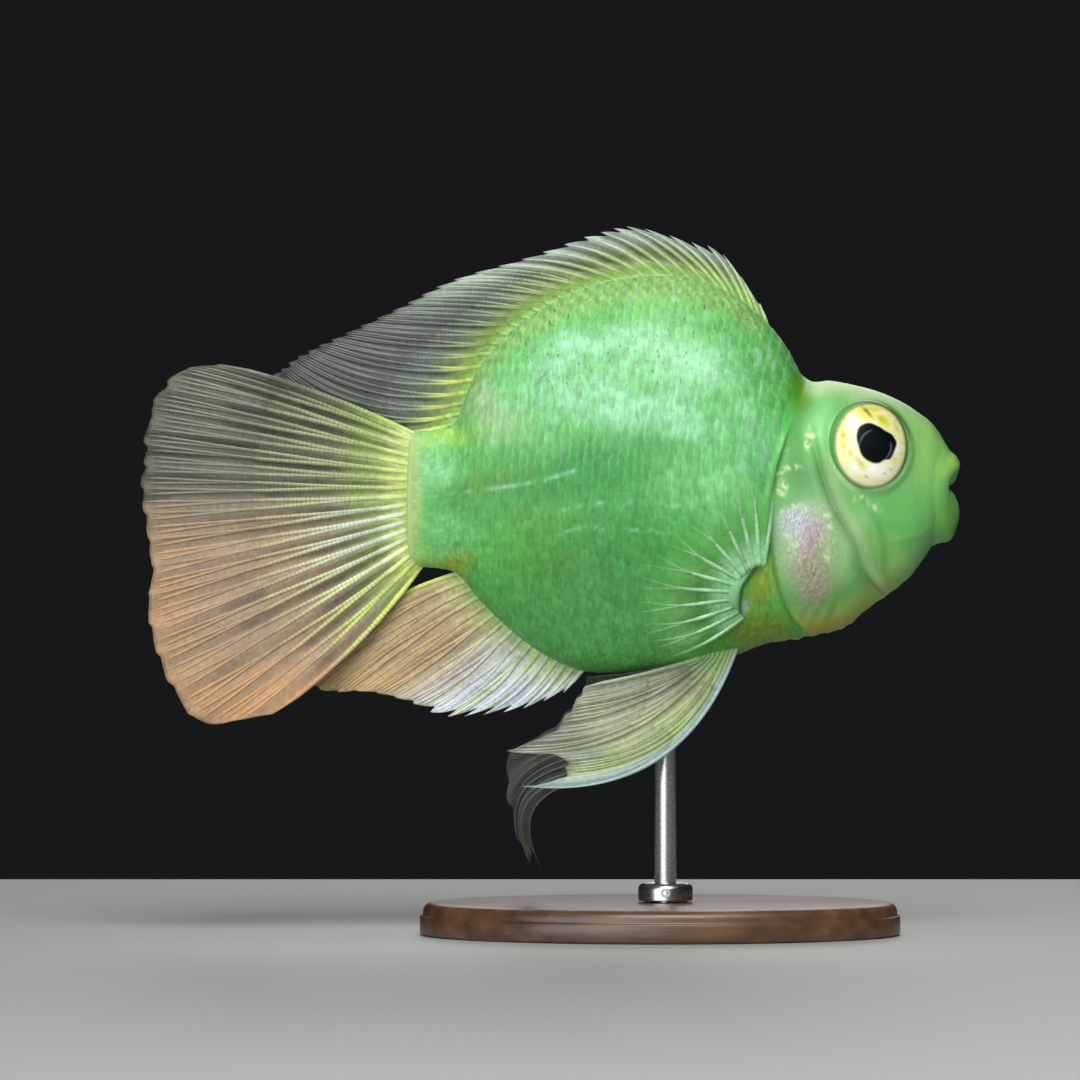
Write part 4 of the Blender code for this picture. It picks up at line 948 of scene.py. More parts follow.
# A row of a fin's table: share along the fin, root x and z, tip x and z, and arch. The trailing fin, which
# is the left pelvic one, has its hook too.
FINS = {
    "dorsal": [
        (0.0, 19.4, 28.0, 18.3, 31.6, 0.0), (0.068, 16.6, 30.8, 11.4, 40.7, 0.05),
        (0.137, 13.4, 33.0, 5.5, 42.9, 0.06), (0.214, 9.4, 35.1, -4.4, 45.6, 0.07),
        (0.308, 1.4, 36.7, -11.5, 44.5, 0.07), (0.428, -8.2, 36.0, -24.7, 39.9, 0.06),
        (0.53, -15.8, 33.7, -37.5, 36.1, 0.05), (0.66, -24.4, 29.2, -48.5, 30.6, 0.02),
        (0.79, -31.2, 22.8, -59.6, 25.4, -0.04), (0.9, -35.2, 15.2, -66.6, 22.0, -0.09),
        (1.0, -38.4, 9.2, -71.1, 18.8, -0.15),
    ],
    "anal": [
        (0.0, -14.2, -35.5, -17.6, -39.6, 0.0), (0.12, -17.2, -34.6, -24.3, -42.3, -0.05),
        (0.3, -21.4, -32.6, -34.0, -43.8, -0.07), (0.42, -24.4, -30.8, -40.0, -44.0, -0.06),
        (0.56, -27.9, -27.8, -46.5, -41.2, -0.04), (0.7, -31.2, -24.5, -53.5, -39.6, -0.01),
        (0.85, -34.3, -21.0, -61.5, -39.4, 0.03), (1.0, -36.9, -17.8, -68.5, -36.0, 0.06),
    ],
    "caudal": [
        (0.0, -44.8, 7.5, -81.0, 20.5, 0.03), (0.08, -45.0, 5.8, -88.0, 19.2, 0.02),
        (0.16, -45.2, 3.9, -92.2, 14.8, 0.01), (0.28, -45.4, 1.0, -94.6, 7.2, 0.0),
        (0.42, -45.6, -2.4, -95.2, -2.4, 0.0), (0.56, -45.6, -6.0, -93.8, -13.8, 0.0),
        (0.7, -45.4, -9.4, -93.8, -26.4, 0.0), (0.82, -45.2, -12.3, -90.2, -37.4, -0.01),
        (0.91, -44.8, -14.5, -84.2, -45.2, -0.02), (1.0, -43.8, -16.4, -71.0, -43.6, -0.045),
    ],
    "pectoral": [
        (0.0, 18.6, -15.0, 20.2, 0.6, 0.02), (0.12, 17.2, -14.8, 14.8, 2.6, 0.0),
        (0.3, 14.6, -16.2, 7.4, -4.0, 0.0), (0.48, 12.6, -18.4, -0.6, -11.8, -0.02),
        (0.66, 11.6, -21.2, -5.4, -20.2, -0.03), (0.84, 11.8, -24.4, -4.4, -28.6, -0.05),
        (1.0, 13.4, -26.6, 0.8, -33.0, -0.06),
    ],
    "pelvic": [
        (0.0, 13.6, -31.9, -25.3, -56.4, -0.195), (0.13, 12.8, -32.2, -18.8, -55.0, -0.175),
        (0.26, 12.0, -32.4, -17.6, -52.8, -0.17), (0.38, 11.2, -32.6, -19.6, -50.8, -0.15),
        (0.5, 10.4, -32.8, -28.2, -50.0, -0.13), (0.62, 9.6, -32.9, -21.4, -47.2, -0.11),
        (0.75, 8.8, -33.0, -17.6, -43.6, -0.08), (0.88, 8.0, -33.1, -15.4, -40.6, -0.05),
        (1.0, 7.2, -33.2, -14.0, -38.4, -0.02),
    ],
    "trailing": [
        (0.0, 13.6, -31.9, -21.8, -72.5, -0.09, 0.21), (0.13, 12.8, -32.2, -23.8, -71.8, -0.075, 0.21),
        (0.26, 12.0, -32.4, -26.6, -66.0, -0.06, 0.15), (0.38, 11.2, -32.6, -28.4, -59.0, -0.06, 0.085),
        (0.5, 10.4, -32.8, -28.0, -51.4, -0.08, 0.02), (0.62, 9.6, -32.9, -21.4, -47.2, -0.09, 0.0),
        (0.75, 8.8, -33.0, -17.6, -43.4, -0.08, 0.0), (0.88, 8.0, -33.1, -15.2, -40.2, -0.07, 0.0),
        (1.0, 7.2, -33.2, -13.8, -36.9, -0.05, 0.0),
    ],
}
FIN_SINK, HOOK_SCALE, MEMBRANE, FIN_PLEAT = 1.6, 12.2, 0.14, 0.2
REAR_SWAY, REAR_SWAY_REACH = 2.2, 10.0
CAUDAL_SWAY, CAUDAL_SWAY_AT, CAUDAL_WAVE, CAUDAL_WAVE_LENGTH = 2.6, 24.0, 1.2, 16.0
PECTORAL_ROOT_RISE, PECTORAL_SPLAY = 0.8, 0.52
PELVIC_INWARD = np.array([0.2, 0.98])
PELVIC_ROOT_Y, PELVIC_SPLAY = 5.0, 0.13
PELVIC_WAVE, PELVIC_WAVE_LENGTH, PELVIC_WAVE_AT = 0.9, 4.2, 50.0
FIN_COLOURS = named_colours(
    body=(128, 180, 100), leaf=(140, 172, 84), olive=(104, 130, 62), grey=(114, 126, 116),
    slate=(78, 86, 86), soot=(58, 64, 66), khaki=(110, 107, 88), tan=(164, 136, 108), orange=(198, 148, 98),
    lemon=(186, 204, 116), citron=(222, 236, 120), cream=(204, 222, 160), pearl=(190, 204, 196),
    ice=(200, 220, 236), brown=(180, 154, 112), straw=(170, 178, 140), green=(126, 212, 122),
    fern=(134, 204, 118), lime=(186, 234, 182), smoke=(82, 88, 84), dusk=(54, 58, 58),
    white=(222, 236, 230), frost=(150, 178, 180), lobe=(140, 200, 146), moss=(84, 150, 64),
)


def fin_line(rows, along, out, inward=None):
    """Points in the side view at shares along a fin and out along its rays, and their way from the root."""
    along, out = np.broadcast_arrays(np.asarray(along, float), np.asarray(out, float))
    root_x, root_z, tip_x, tip_z, arch = (table_line(rows, pick, along) for pick in range(1, 6))
    hook = table_line(rows, 6, along) if len(rows[0]) > 6 else 0.0
    root = np.stack([root_x, root_z], -1)
    ray = np.stack([tip_x, tip_z], -1) - root
    length = np.linalg.norm(ray, axis=-1)
    start = -FIN_SINK / length
    share = start + (1 - start) * out
    aside = arch * 4 * share * (1 - share) + hook * HOOK_SCALE * share**4 * (1 - share)
    spot = root + ray * share[..., None] + np.stack([ray[..., 1], -ray[..., 0]], -1) * aside[..., None]
    if inward is not None:
        spot = np.where((share < 0)[..., None], root - inward * (share * length)[..., None], spot)
    return spot, np.maximum(share, 0) * length, root


def upright(spot, sideways):
    """Points in space from points in the side view and how far out of the middle plane they lie."""
    return np.stack([spot[..., 0], sideways, spot[..., 1]], -1)


def median_place(fin):
    """Places the dorsal or anal fin, whose rear rays lean to the left."""
    def place(along, out):
        spot, distance, _ = fin_line(FINS[fin], along, out)
        return upright(spot, REAR_SWAY * along**2 * (1 - np.exp(-distance / REAR_SWAY_REACH))), distance
    return place


def caudal_place(along, out):
    spot, distance, _ = fin_line(FINS["caudal"], along, out)
    sway = CAUDAL_SWAY * np.abs(2 * along - 1) ** 1.5 * np.minimum(distance / CAUDAL_SWAY_AT, 1.2) ** 2
    return upright(spot, -sway - CAUDAL_WAVE * np.sin(distance / CAUDAL_WAVE_LENGTH)), distance


def pectoral_place(side):
    def place(along, out):
        spot, distance, root = fin_line(FINS["pectoral"], along, out)
        splay = PECTORAL_SPLAY * (0.6 + 0.4 * np.sin(math.pi * along)) * distance * (1 - 0.14 * out)
        root_y = flank(root[..., 0], root[..., 1])
        return upright(spot, side * (root_y + (PECTORAL_ROOT_RISE + splay))), distance
    return place


def pelvic_place(side, rows):
    def place(along, out):
        spot, distance, _ = fin_line(FINS[rows], along, out, PELVIC_INWARD)
        wave = PELVIC_WAVE * np.sin(distance / PELVIC_WAVE_LENGTH + 2 * along)
        wave = wave * (distance / PELVIC_WAVE_AT) ** 2
        splay = PELVIC_SPLAY * (1.15 - 0.75 * along) * distance
        return upright(spot, side * (PELVIC_ROOT_Y + splay + wave)), distance
    return place


def give_cover(piece, values):
    """How solid a mesh is at each point, from clear to solid, as an attribute that the materials read."""
    layer = piece.data.attributes.new("cover", "FLOAT", "POINT")
    layer.data.foreach_set("value", values.astype(np.float32))


def pleated(place, rays, pleat, seed):
    """A fin's place function with the membrane folded to one side and the other between its rays."""
    def fold(along, out):
        spots, distance = place(along, out)
        across_rays = np.broadcast_to(np.asarray(along, float) * (rays - 1), distance.shape)
        hollow = np.sin(math.pi * (across_rays % 1.0)) ** 2 * ramp(distance, 1.0, 6.0)
        drift = wander(across_rays * 0.8, distance / 7, seed) - 0.5
        aside = hollow * np.where(np.floor(across_rays) % 2 > 0, 1, -1) + 1.2 * drift * ramp(distance, 1, 8)
        spots[..., 1] += pleat * aside
        return spots, distance
    return fold


def fin_edge(rays, notch, ragged, seed):
    """How far out a fin's edge lies at shares along it: notched behind each ray's tip and a little torn."""
    def edge(along):
        across_rays = np.asarray(along, float) * (rays - 1)
        phase = across_rays % 1.0
        tears = ramp(wander(across_rays * 1.3, 0 * across_rays + 0.5, seed), 0.5, 1.0)
        tears = tears + 0.5 * wander(across_rays * 3.1, 0 * across_rays + 0.5, seed + 1)
        return 1 - notch(along) * (1 - phase) ** 1.3 * ramp(phase, 0.0, 0.22) - ragged * tears
    return edge


def half_thickness(foot, along, out, distance):
    """Half a membrane's thickness: thin far out, swelling to a foot that is lower at the fin's two ends.

    foot is the foot's thickness, how far out it reaches and how much lower it is at its ends.
    """
    thick, reach, rounding = foot
    swell = np.maximum(thick * np.sqrt(1 - rounding * (2 * along - 1) ** 2) - MEMBRANE, 0)
    return (MEMBRANE * (1 - 0.45 * out) + swell * np.clip(1 - distance / reach, 0, 1) ** 2) / 2


def fin_streaks(across_rays, distance, seed):
    """Fine lines that run along a fin's rays, as a factor on its colour."""
    fine = wander(across_rays * 6.5, distance / 9, seed + 5)
    broad = wander(across_rays * 2.3, distance / 14, seed + 6)
    return (0.78 + 0.26 * fine + 0.18 * broad)[..., None]


def make_membrane(name, place, rays, steps, look, edge, foot, shade_between_rays=0.35, shadow=(0.5, 0.3), seed=1):
    """A thin closed membrane.

    The argument after foot is how much painted shade darkens it between the rays, in a mottled band whose
    middle and width shadow gives.
    look gives its colour and how solid it is.
    """
    per_ray = 14
    columns = (rays - 1) * per_ray + 1
    across_rays = np.linspace(0, rays - 1, columns)[None, :]
    along = across_rays / (rays - 1)
    out = np.linspace(0, 1, steps)[:, None] ** 0.9
    reach = out * edge(along)
    along = np.broadcast_to(along, reach.shape)
    spots, distance = place(along, reach)
    normals = unit(np.cross(np.gradient(spots, axis=1), np.gradient(spots, axis=0)))
    thick = half_thickness(foot, along, out, distance)[..., None]
    front, back = spots + normals * thick, spots - normals * thick
    count = steps * columns
    faces = grid_faces(steps, columns, closed=False)
    rim = grid_edge(steps, columns)
    rim_next = np.roll(rim, -1)
    walls = np.stack([rim, rim_next, rim_next + count, rim + count], -1)
    piece = mesh_piece(
        name, np.concatenate([front.reshape(-1, 3), back.reshape(-1, 3)]),
        np.concatenate([faces, faces[:, ::-1] + count, walls]))
    turn_outwards(piece)
    colours, cover = look(along, reach, distance)
    dark_spots = ramp(wander(across_rays * 0.9 + 5, distance / 8, seed + 3), 0.45, 0.85)
    # Painted shade between the rays, in mottled bands
    band = bell(across_rays % 1.0, *shadow) * ramp(distance, 1.0, 6.0)
    shade = shade_between_rays * band * (0.45 + 0.55 * dark_spots)
    colours = colours * (1 - shade[..., None]) * fin_streaks(across_rays, distance, seed)
    cover = np.clip(cover * (1 - 0.45 * shade), 0, 1)
    give_colours(piece, "dye_and_painted_light", np.concatenate([colours.reshape(-1, 3)] * 2))
    give_cover(piece, np.concatenate([cover.ravel()] * 2))
    return piece


def ray_limbs(spread, forks):
    """The limbs a ray forks into: own offset, the offset it parts from, start, end and level."""
    limbs, growing = [], [(0.0, 0.0)]
    for level, (start, end) in enumerate(zip([0.0, *forks], [*forks, 1.0])):
        limbs += [(own, parent, start, end, level) for own, parent in growing]
        half = spread / 2 ** (level + 2)
        growing = [(own + sign * half, own) for own, _ in growing for sign in (-1, 1)]
    return limbs


# A ray's sides, the step between its rings where it is beaded and where it is plain, the length of a bead,
# how wide its limbs spread as a share of the gap to the next ray, and each limb's width beside the last
RAY_SIDES, BEADED_STEP, PLAIN_STEP, BEAD, LIMB_SPREAD, LIMB_WIDTH = 6, 0.2, 0.6, 0.8, 0.92, 0.82


def make_rays(name, place, rays, look, edge, foot, seed, radii, forks=(), first_soft=0, beads_end=0.7,
              depth=0.5, flat_root=0.1, clear_tips=0.0):
    """All rays of a fin as one mesh of tapering closed ridges, beaded where they are soft."""
    sides = RAY_SIDES
    each = np.arange(sides)
    each_next, turn = np.roll(each, -1), (each + 0.5) * 2 * math.pi / sides
    points, faces, colours, covers, start_index = [], [], [], [], 0
    for i in range(rays):
        soft = i >= first_soft
        ray_forks = forks if soft and 0 < i < rays - 1 else ()
        for own, parent, start, end, level in ray_limbs(LIMB_SPREAD / (rays - 1), ray_forks):
            if end == 1.0 and soft:
                end = float(edge(np.clip(i / (rays - 1) + own, 0, 1))) - 0.004
            run = place(np.full(2, i / (rays - 1)), np.array([start, end]))[1]
            beaded = soft and start < beads_end
            rings = max(int((run[1] - run[0]) / (BEADED_STEP if beaded else PLAIN_STEP)), 8)
            out = np.linspace(max(start - 0.02, 0) if level else 0.0, end, rings)
            parting = ramp(out, start - 0.04, start + min(0.5, end - start)) if level else 1.0
            line = np.clip(i / (rays - 1) + parent + (own - parent) * parting, 0, 1) * np.ones(rings)
            centre, distance = place(line, out)
            tangent = unit(np.gradient(centre, axis=0))
            ahead, behind = (place(np.clip(line + step, 0, 1), out)[0] for step in (0.002, -0.002))
            across = ahead - behind
            across = unit(across - tangent * (across * tangent).sum(1, keepdims=True))
            normal = np.cross(tangent, across)
            radius = (radii[0] + (radii[1] - radii[0]) * np.clip(out, 0, 1) ** 0.8) * LIMB_WIDTH**level
            lift = half_thickness(foot, line, out, distance)
            joint = np.zeros(rings)
            if beaded:
                joint = ramp(np.cos(2 * math.pi * distance / BEAD + 2.2 * i + level), 0.1, 1.0)
                joint = joint * ramp(distance, 5.0, 11.0) * fade(out, beads_end - 0.25, beads_end + 0.1)
                radius = radius * (1 - 0.14 * joint)
            if end > 0.9:
                radius = radius * np.clip((1 - np.linspace(0, 1, rings)) * (7 if soft else 2.2), 0.08, 1)
            height = depth * radius * (0.15 + 0.85 * ramp(distance, 0.0, flat_root))
            ring = centre[:, None] + (radius[:, None] * np.cos(turn))[..., None] * across[:, None]
            ring = ring + (height[:, None] * np.sin(turn))[..., None] * normal[:, None]
            ring = ring + lift[:, None, None] * np.sign(np.sin(turn))[None, :, None] * normal[:, None]
            count, top = rings * sides, (rings - 1) * sides
            caps = [np.stack([np.full(sides, count), each, each_next], -1)]
            caps.append(np.stack([np.full(sides, count + 1), top + each_next, top + each], -1))
            tube = np.concatenate([halved(grid_faces(rings, sides)), *caps])
            points += [ring.reshape(-1, 3), centre[:1], centre[-1:]]
            faces.append(tube + start_index)
            start_index += count + 2
            shade = look(line, out, distance) * (1 - 0.34 * joint[:, None])
            shade = shade * fin_streaks(line * (rays - 1), distance, seed)
            colours += [np.repeat(shade, sides, axis=0), shade[:1], shade[-1:]]
            cover = 1 - clear_tips * ramp(out, 0.2, 0.95)
            covers += [np.repeat(cover, sides), cover[:1], cover[-1:]]
    piece = mesh_piece(name, np.concatenate(points), np.concatenate(faces))
    turn_outwards(piece)
    give_colours(piece, "dye_and_painted_light", np.concatenate(colours))
    give_cover(piece, np.concatenate(covers))
    return piece


def tinted(base, shape, *layers):
    """Colours of a base, a tint's name or colours, with further tints laid over it by their shares."""
    base = FIN_COLOURS[base] if isinstance(base, str) else base
    return lay(np.broadcast_to(base, (*shape.shape, 3)), FIN_COLOURS, *layers)


def dorsal_look(along, out, distance):
    rear = ramp(along, 0.38, 0.72)
    colour = tinted(
        "olive", out, ("body", 0.9 * fade(distance, 0.0, 4.0)), ("leaf", 0.4 * fade(distance, 1, 8)),
        ("grey", ramp(distance, 3.0, 12.0) * (0.45 + 0.55 * rear)),
        ("slate", 0.95 * rear * ramp(out, 0.1, 0.6)),
        ("soot", 0.95 * ramp(along, 0.56, 0.8) * ramp(distance, 9.0, 24.0)),
        ("pearl", 0.7 * (1 - rear) * ramp(out, 0.4, 1.0)))
    return colour, 0.97 - 0.14 * ramp(distance, 2.0, 7.0) - 0.26 * ramp(distance, 6.0, 30.0) * rear


def dorsal_rays_look(along, out, distance):
    rear = ramp(along, 0.34, 0.75)
    rearmost = ramp(along, 0.74, 0.88) * ramp(distance, 0.0, 1.0)
    return tinted(
        1.12 * dorsal_look(along, out, distance)[0], out,
        ("cream", (0.42 - 0.34 * rear) * ramp(distance, 0.5, 4.0) * (1 - 0.4 * out)),
        ("citron", 0.75 * rearmost * fade(distance, 3.0, 9.0)),
        ("pearl", (0.3 - 0.26 * rear) * ramp(out, 0.4, 0.8)))


def anal_look(along, out, distance):
    front = fade(along, 0.38, 0.72)
    colour = tinted(
        "brown", out, ("ice", 0.8 * front), ("orange", 0.2 * (1 - front) * ramp(out, 0.35, 0.9)),
        ("cream", 0.4 * fade(distance, 2.0, 9.0)), ("body", 0.6 * fade(distance, 0.0, 3.0)),
        ("lemon", 0.5 * front * ramp(wander(along * 34, distance / 18, 51), 0.5, 0.8)))
    return colour, 0.97 - 0.14 * ramp(distance, 8.0, 26.0) * (1 - front)


def anal_rays_look(along, out, distance):
    front = fade(along, 0.34, 0.6)
    return tinted(
        1.08 * anal_look(along, out, distance)[0], out,
        ("lemon", 0.35 * front * fade(out, 0.2, 0.7) * ramp(out, 0, 0.1)),
        ("white", 0.3 * front * ramp(out, 0.3, 0.9)),
        ("citron", 0.6 * ramp(along, 0.93, 1.0) * ramp(distance, 0.5, 3.0)))


def caudal_look(along, out, distance):
    low = ramp(along, 0.38, 0.62)
    colour = tinted(
        "khaki", out, ("slate", 0.3 * (1 - low) * ramp(distance, 16, 24) * fade(distance, 30, 42)),
        ("slate", 0.4 * (1 - low) * ramp(distance, 34, 44)),
        ("tan", low), ("orange", 0.75 * ramp(along, 0.8, 0.97) * ramp(distance, 20, 36)),
        ("orange", 0.4 * low * ramp(distance, 38, 50)), ("grey", 0.4 * low * fade(distance, 10, 24)),
        ("leaf", 0.9 * fade(distance, 8.0, 17.0) * (1 - 0.3 * low)),
        ("lemon", 0.9 * fade(distance, 3.0, 12.0)))
    return colour, 0.97 - 0.16 * ramp(distance, 10.0, 20.0) * (1 - 0.5 * low)


def caudal_rays_look(along, out, distance):
    low = ramp(along, 0.4, 0.62)
    bright_roots = ramp(along, 0.42, 0.6) * ramp(distance, 0.5, 3.0)
    return tinted(
        1.1 * caudal_look(along, out, distance)[0], out,
        ("cream", 0.34 * ramp(distance, 4.0, 11.0) * fade(out, 0.35, 0.8)),
        ("citron", 0.75 * ramp(along, 0.62, 0.8) * fade(distance, 10.0, 26.0) * ramp(distance, 0.5, 3.0)),
        ("white", 0.6 * bright_roots * fade(along, 0.75, 0.95) * fade(distance, 6.0, 28.0)),
        ("orange", 0.15 * low * ramp(out, 0.7, 1.0)))


def pectoral_look(along, out, distance):
    lobe, low = fade(distance, 1.0, 6.0), ramp(along, 0.3, 0.8)
    haze = 0.36 * (0.4 + 0.6 * low) * fade(distance, 6.0, 18.0) * fade(out, 0.5, 0.95)
    # Painted shade: darker green near the roots of the lower rays
    colour = tinted("fern", out, ("moss", 0.9 * low * fade(distance, 4.0, 10.0)), ("lobe", lobe))
    return colour, np.maximum(lobe, haze + 0.05 * fade(out, 0.7, 1.0))


def pectoral_rays_look(along, out, distance):
    return tinted("lime", out, ("green", 0.6 * ramp(out, 0.2, 0.9)), ("lobe", fade(distance, 1.0, 5.0)))


def pelvic_look(along, out, distance):
    front = fade(along, 0.06, 0.2)
    colour = tinted(
        "straw", out, ("leaf", 0.5 * ramp(along, 0.08, 0.2) * fade(along, 0.3, 0.5)),
        ("grey", 0.6 * ramp(along, 0.3, 0.8)),
        ("slate", 0.85 * ramp(along, 0.12, 0.4) * ramp(distance, 22.0, 32.0)),
        ("frost", 0.8 * front), ("body", 0.8 * fade(distance, 0.0, 6.0) * (1 - 0.6 * front)))
    return colour, 0.95 - 0.16 * ramp(distance, 10.0, 34.0)


def pelvic_rays_look(along, out, distance):
    front = fade(along, 0.05, 0.2)
    return tinted(
        1.06 * pelvic_look(along, out, distance)[0], out, ("cream", 0.2 * fade(along, 0.5, 0.9)),
        ("frost", 0.6 * front),
        ("pearl", 0.3 * ramp(out, 0.8, 1.0) * (1 - 0.6 * ramp(along, 0.4, 0.8))))


def trailing_look(along, out, distance):
    cloud = wander(along * 9, distance / 3.5, 49)
    colour = tinted("smoke", out, ("dusk", 0.8 * cloud), ("slate", 0.5 * fade(distance, 10.0, 30.0)),
                    ("dusk", 0.7 * ramp(out, 0.7, 1.0)))
    return colour, 0.9 - 0.2 * ramp(distance, 10.0, 40.0)


def trailing_rays_look(along, out, distance):
    return tinted("slate", out, ("smoke", 0.6), ("dusk", 0.6 * ramp(out, 0.6, 1.0)))


def fin_material(name, roughness, see_through):
    """A fin's wet membrane or ray: its own tint, fine mottling, light that passes through and a gloss."""
    made, tree, shader = new_material(
        name, roughness, Coat_Weight=0.3, Coat_Roughness=0.25, Specular_IOR_Level=0.35,
        Subsurface_Weight=0.3, Subsurface_Radius=(0.8, 1.0, 0.6), Subsurface_Scale=0.001)
    mottle = stretched_noise(tree, (1, 1, 1), 1200.0)
    shade = remap(tree, mottle, (0.3, 0.7), (0.88, 1.1))
    feed(tree, shader, toned(tree, carried(tree, "dye_and_painted_light"), shade))
    if see_through:
        feed(tree, shader, times(tree, carried(tree, "cover", "Fac"), shade, clamp=True), "Alpha")
    roughen(tree, shader, mottle, 0.35, 0.0001)
    return made


membrane_finish = fin_material("fin_membrane", 0.45, True)
ray_finish = fin_material("fin_rays", 0.42, False)


def fin_pieces(fin, place, node, rays, steps, looks, edge, membrane, ray_shape, finish=ray_finish):
    """A fin's membrane and rays, bound to the node they stand for. edge is its notches, tears and seed."""
    place, edge = pleated(place, rays, FIN_PLEAT, edge[-1]), fin_edge(rays, *edge)
    made = [make_membrane(fin + "_membrane", place, rays, steps, looks[0], edge, **membrane)]
    made[0].data.materials.append(membrane_finish)
    made.append(make_rays(
        fin + "_rays", place, rays, looks[1], edge, membrane["foot"], membrane["seed"], **ray_shape))
    made[1].data.materials.append(finish)
    for piece in made:
        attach(piece, "root")
        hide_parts(node)


fin_pieces(
    "dorsal", median_place("dorsal"), "dorsal_fin", 31, 48, (dorsal_look, dorsal_rays_look),
    (lambda along: 0.24 * (1 - along) ** 1.8 + 0.02, 0.01, 3),
    {"foot": (4.4, 5.0, 0.8), "shade_between_rays": 0.5, "shadow": (0.4, 0.25), "seed": 3},
    {"radii": (0.5, 0.38), "forks": (0.1, 0.5), "first_soft": 15})
fin_pieces(
    "anal", median_place("anal"), "anal_fin", 16, 44, (anal_look, anal_rays_look),
    (lambda along: 0.22 * fade(along, 0.3, 0.6) + 0.015, 0.01, 5),
    {"foot": (4.0, 5.0, 0.8), "shade_between_rays": 0.35, "shadow": (0.4, 0.25), "seed": 5},
    {"radii": (0.5, 0.42), "forks": (0.2, 0.6), "first_soft": 6})
fin_pieces(
    "caudal", caudal_place, "caudal_fin", 18, 64, (caudal_look, caudal_rays_look),
    (lambda along: 0.012 + 0 * along, 0.012, 8), {"foot": (5.6, 9.0, 0.97), "shade_between_rays": 0.6, "seed": 8},
    {"radii": (0.56, 0.5), "forks": (0.16, 0.6), "flat_root": 11.0})
for side, name in ((-1, "right"), (1, "left")):
    fin_pieces(
        "pectoral_" + name, pectoral_place(side), "pectoral_fin_" + name, 12, 40,
        (pectoral_look, pectoral_rays_look), (lambda along: 0.05 + 0 * along, 0.04, 9),
        {"foot": (1.8, 6.0, 0.5), "shade_between_rays": 0.0, "seed": 9},
        {"radii": (0.5, 0.2), "forks": (0.5,), "beads_end": 0.0, "clear_tips": 0.95, "flat_root": 5.0},
        membrane_finish)
fin_pieces(
    "pelvic_right", pelvic_place(-1, "pelvic"), "pelvic_fin_right", 9, 56,
    (pelvic_look, pelvic_rays_look), (lambda along: 0.03 + 0 * along, 0.01, 11),
    {"foot": (2.4, 4.5, 0.6), "shade_between_rays": 0.25, "seed": 11},
    {"radii": (0.5, 0.42), "forks": (0.2, 0.5), "first_soft": 1, "beads_end": 0.0, "depth": 0.34})
fin_pieces(
    "pelvic_left", pelvic_place(1, "trailing"), "pelvic_fin_left", 9, 76,
    (trailing_look, trailing_rays_look), (lambda along: 0.03 + 0 * along, 0.02, 13),
    {"foot": (2.4, 4.5, 0.6), "shade_between_rays": 0.4, "seed": 13},
    {"radii": (0.42, 0.3), "forks": (0.3,), "first_soft": 1, "beads_end": 0.0})

# The fleshy foot that each pectoral fin turns on, a low pale swelling behind the gill cover. A crease,
# darkened with painted shade, parts it from the olive skin ahead of it.
PAD_CENTRE, PAD_SIZE, PAD_LEAN = (14.0, -20.4), (4.7, 2.3, 9.2), math.radians(25)
PAD_CREASE = [(-27.0, 14.8), (-23.5, 14.2), (-20.3, 14.6), (-17.5, 16.4), (-14.0, 19.0)]
pad_finish = flesh_material("pectoral_foot_skin", 0.45)
for side, name in ((-1, "right"), (1, "left")):
    pad, ball = unit_ball("pectoral_foot_" + name, 96, 48)
    ball[:, 1] = ball[:, 1] ** 3
    ball = ball * np.array(PAD_SIZE)
    lean_x = ball[:, 0] * math.cos(PAD_LEAN) + ball[:, 2] * math.sin(PAD_LEAN)
    lean_z = -ball[:, 0] * math.sin(PAD_LEAN) + ball[:, 2] * math.cos(PAD_LEAN)
    x, z = PAD_CENTRE[0] + lean_x, PAD_CENTRE[1] + lean_z
    ahead = off_line(PAD_CREASE, x, z)
    outward = side * ball[:, 1] > 0
    ball[:, 1] *= 1 - 0.6 * ramp(ahead, -0.5, 0.5) * outward
    spots = np.stack([x, side * (flank(x, z) - 0.15) + ball[:, 1], z], -1)
    move_points(pad, spots)
    middle = soft_patch(x, z, *PAD_CENTRE, 3.4, 7.8, -25) * fade(ahead, -0.4, 0.2)
    near_crease = ramp(z, -27, -24) * fade(z, -15.5, -13.5)
    colour = lay(flesh_colours(spots)[0], FIN_COLOURS, ("lobe", 0.95 * middle))
    # Painted shade along the crease
    give_colours(pad, "dye_and_painted_light", lay(colour, SKIN_COLOURS, ("dark", 0.75 * bell(ahead, 0.1, 0.3) * near_crease)))
    give_colours(pad, "marks", np.zeros((len(spots), 3)))
    pad.data.materials.append(pad_finish)
    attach(pad, "root")
    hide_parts("pectoral_fin_" + name)


# Display stand
# An oval walnut base with a moulded edge, and a brushed steel rod that is held by a turned collar with a
# small set screw and ends inside the belly.
BASE_LENGTH, BASE_WIDTH, BASE_THICKNESS = 88.0, 60.0, 6.0
ROD_X, ROD_RADIUS, ROD_LOW, ROD_BURIED = 1.0, 2.0, 3.3, 3.0
COLLAR_FOOT, COLLAR_TOP, COLLAR_RADIUS = 6.3, 9.5, 5.0
# The base's edge from its underside to its top, as how far in it lies and its height
BASE_EDGE = [
    (0.8, 0.0), (0.35, 0.12), (0.08, 0.4), (0.0, 0.8), (0.0, 3.3), (0.12, 3.55), (0.45, 3.7), (0.5, 3.78),
    (0.55, 4.1), (0.6, 4.6), (0.75, 5.05), (1.05, 5.45), (1.45, 5.75), (1.95, 5.93), (2.5, 6.0),
]
# How far in the last ring of points lies on the base's flat top and underside
INNER_RING = 28.0
SCREW_Z, SCREW_AROUND = 7.9, 36
# The screw's rings from its rim into its socket: plain radius, radius of the hexagon, how deep
SCREW_RINGS = [
    (0.0, 0.0, 0.5), (0.8, 0.0, 0.5), (0.9, 0.0, 0.1), (0.82, 0.0, 0.0), (0.0, 0.5, 0.0), (0.0, 0.47, 0.6),
    (0.0, 0.0, 0.6),
]


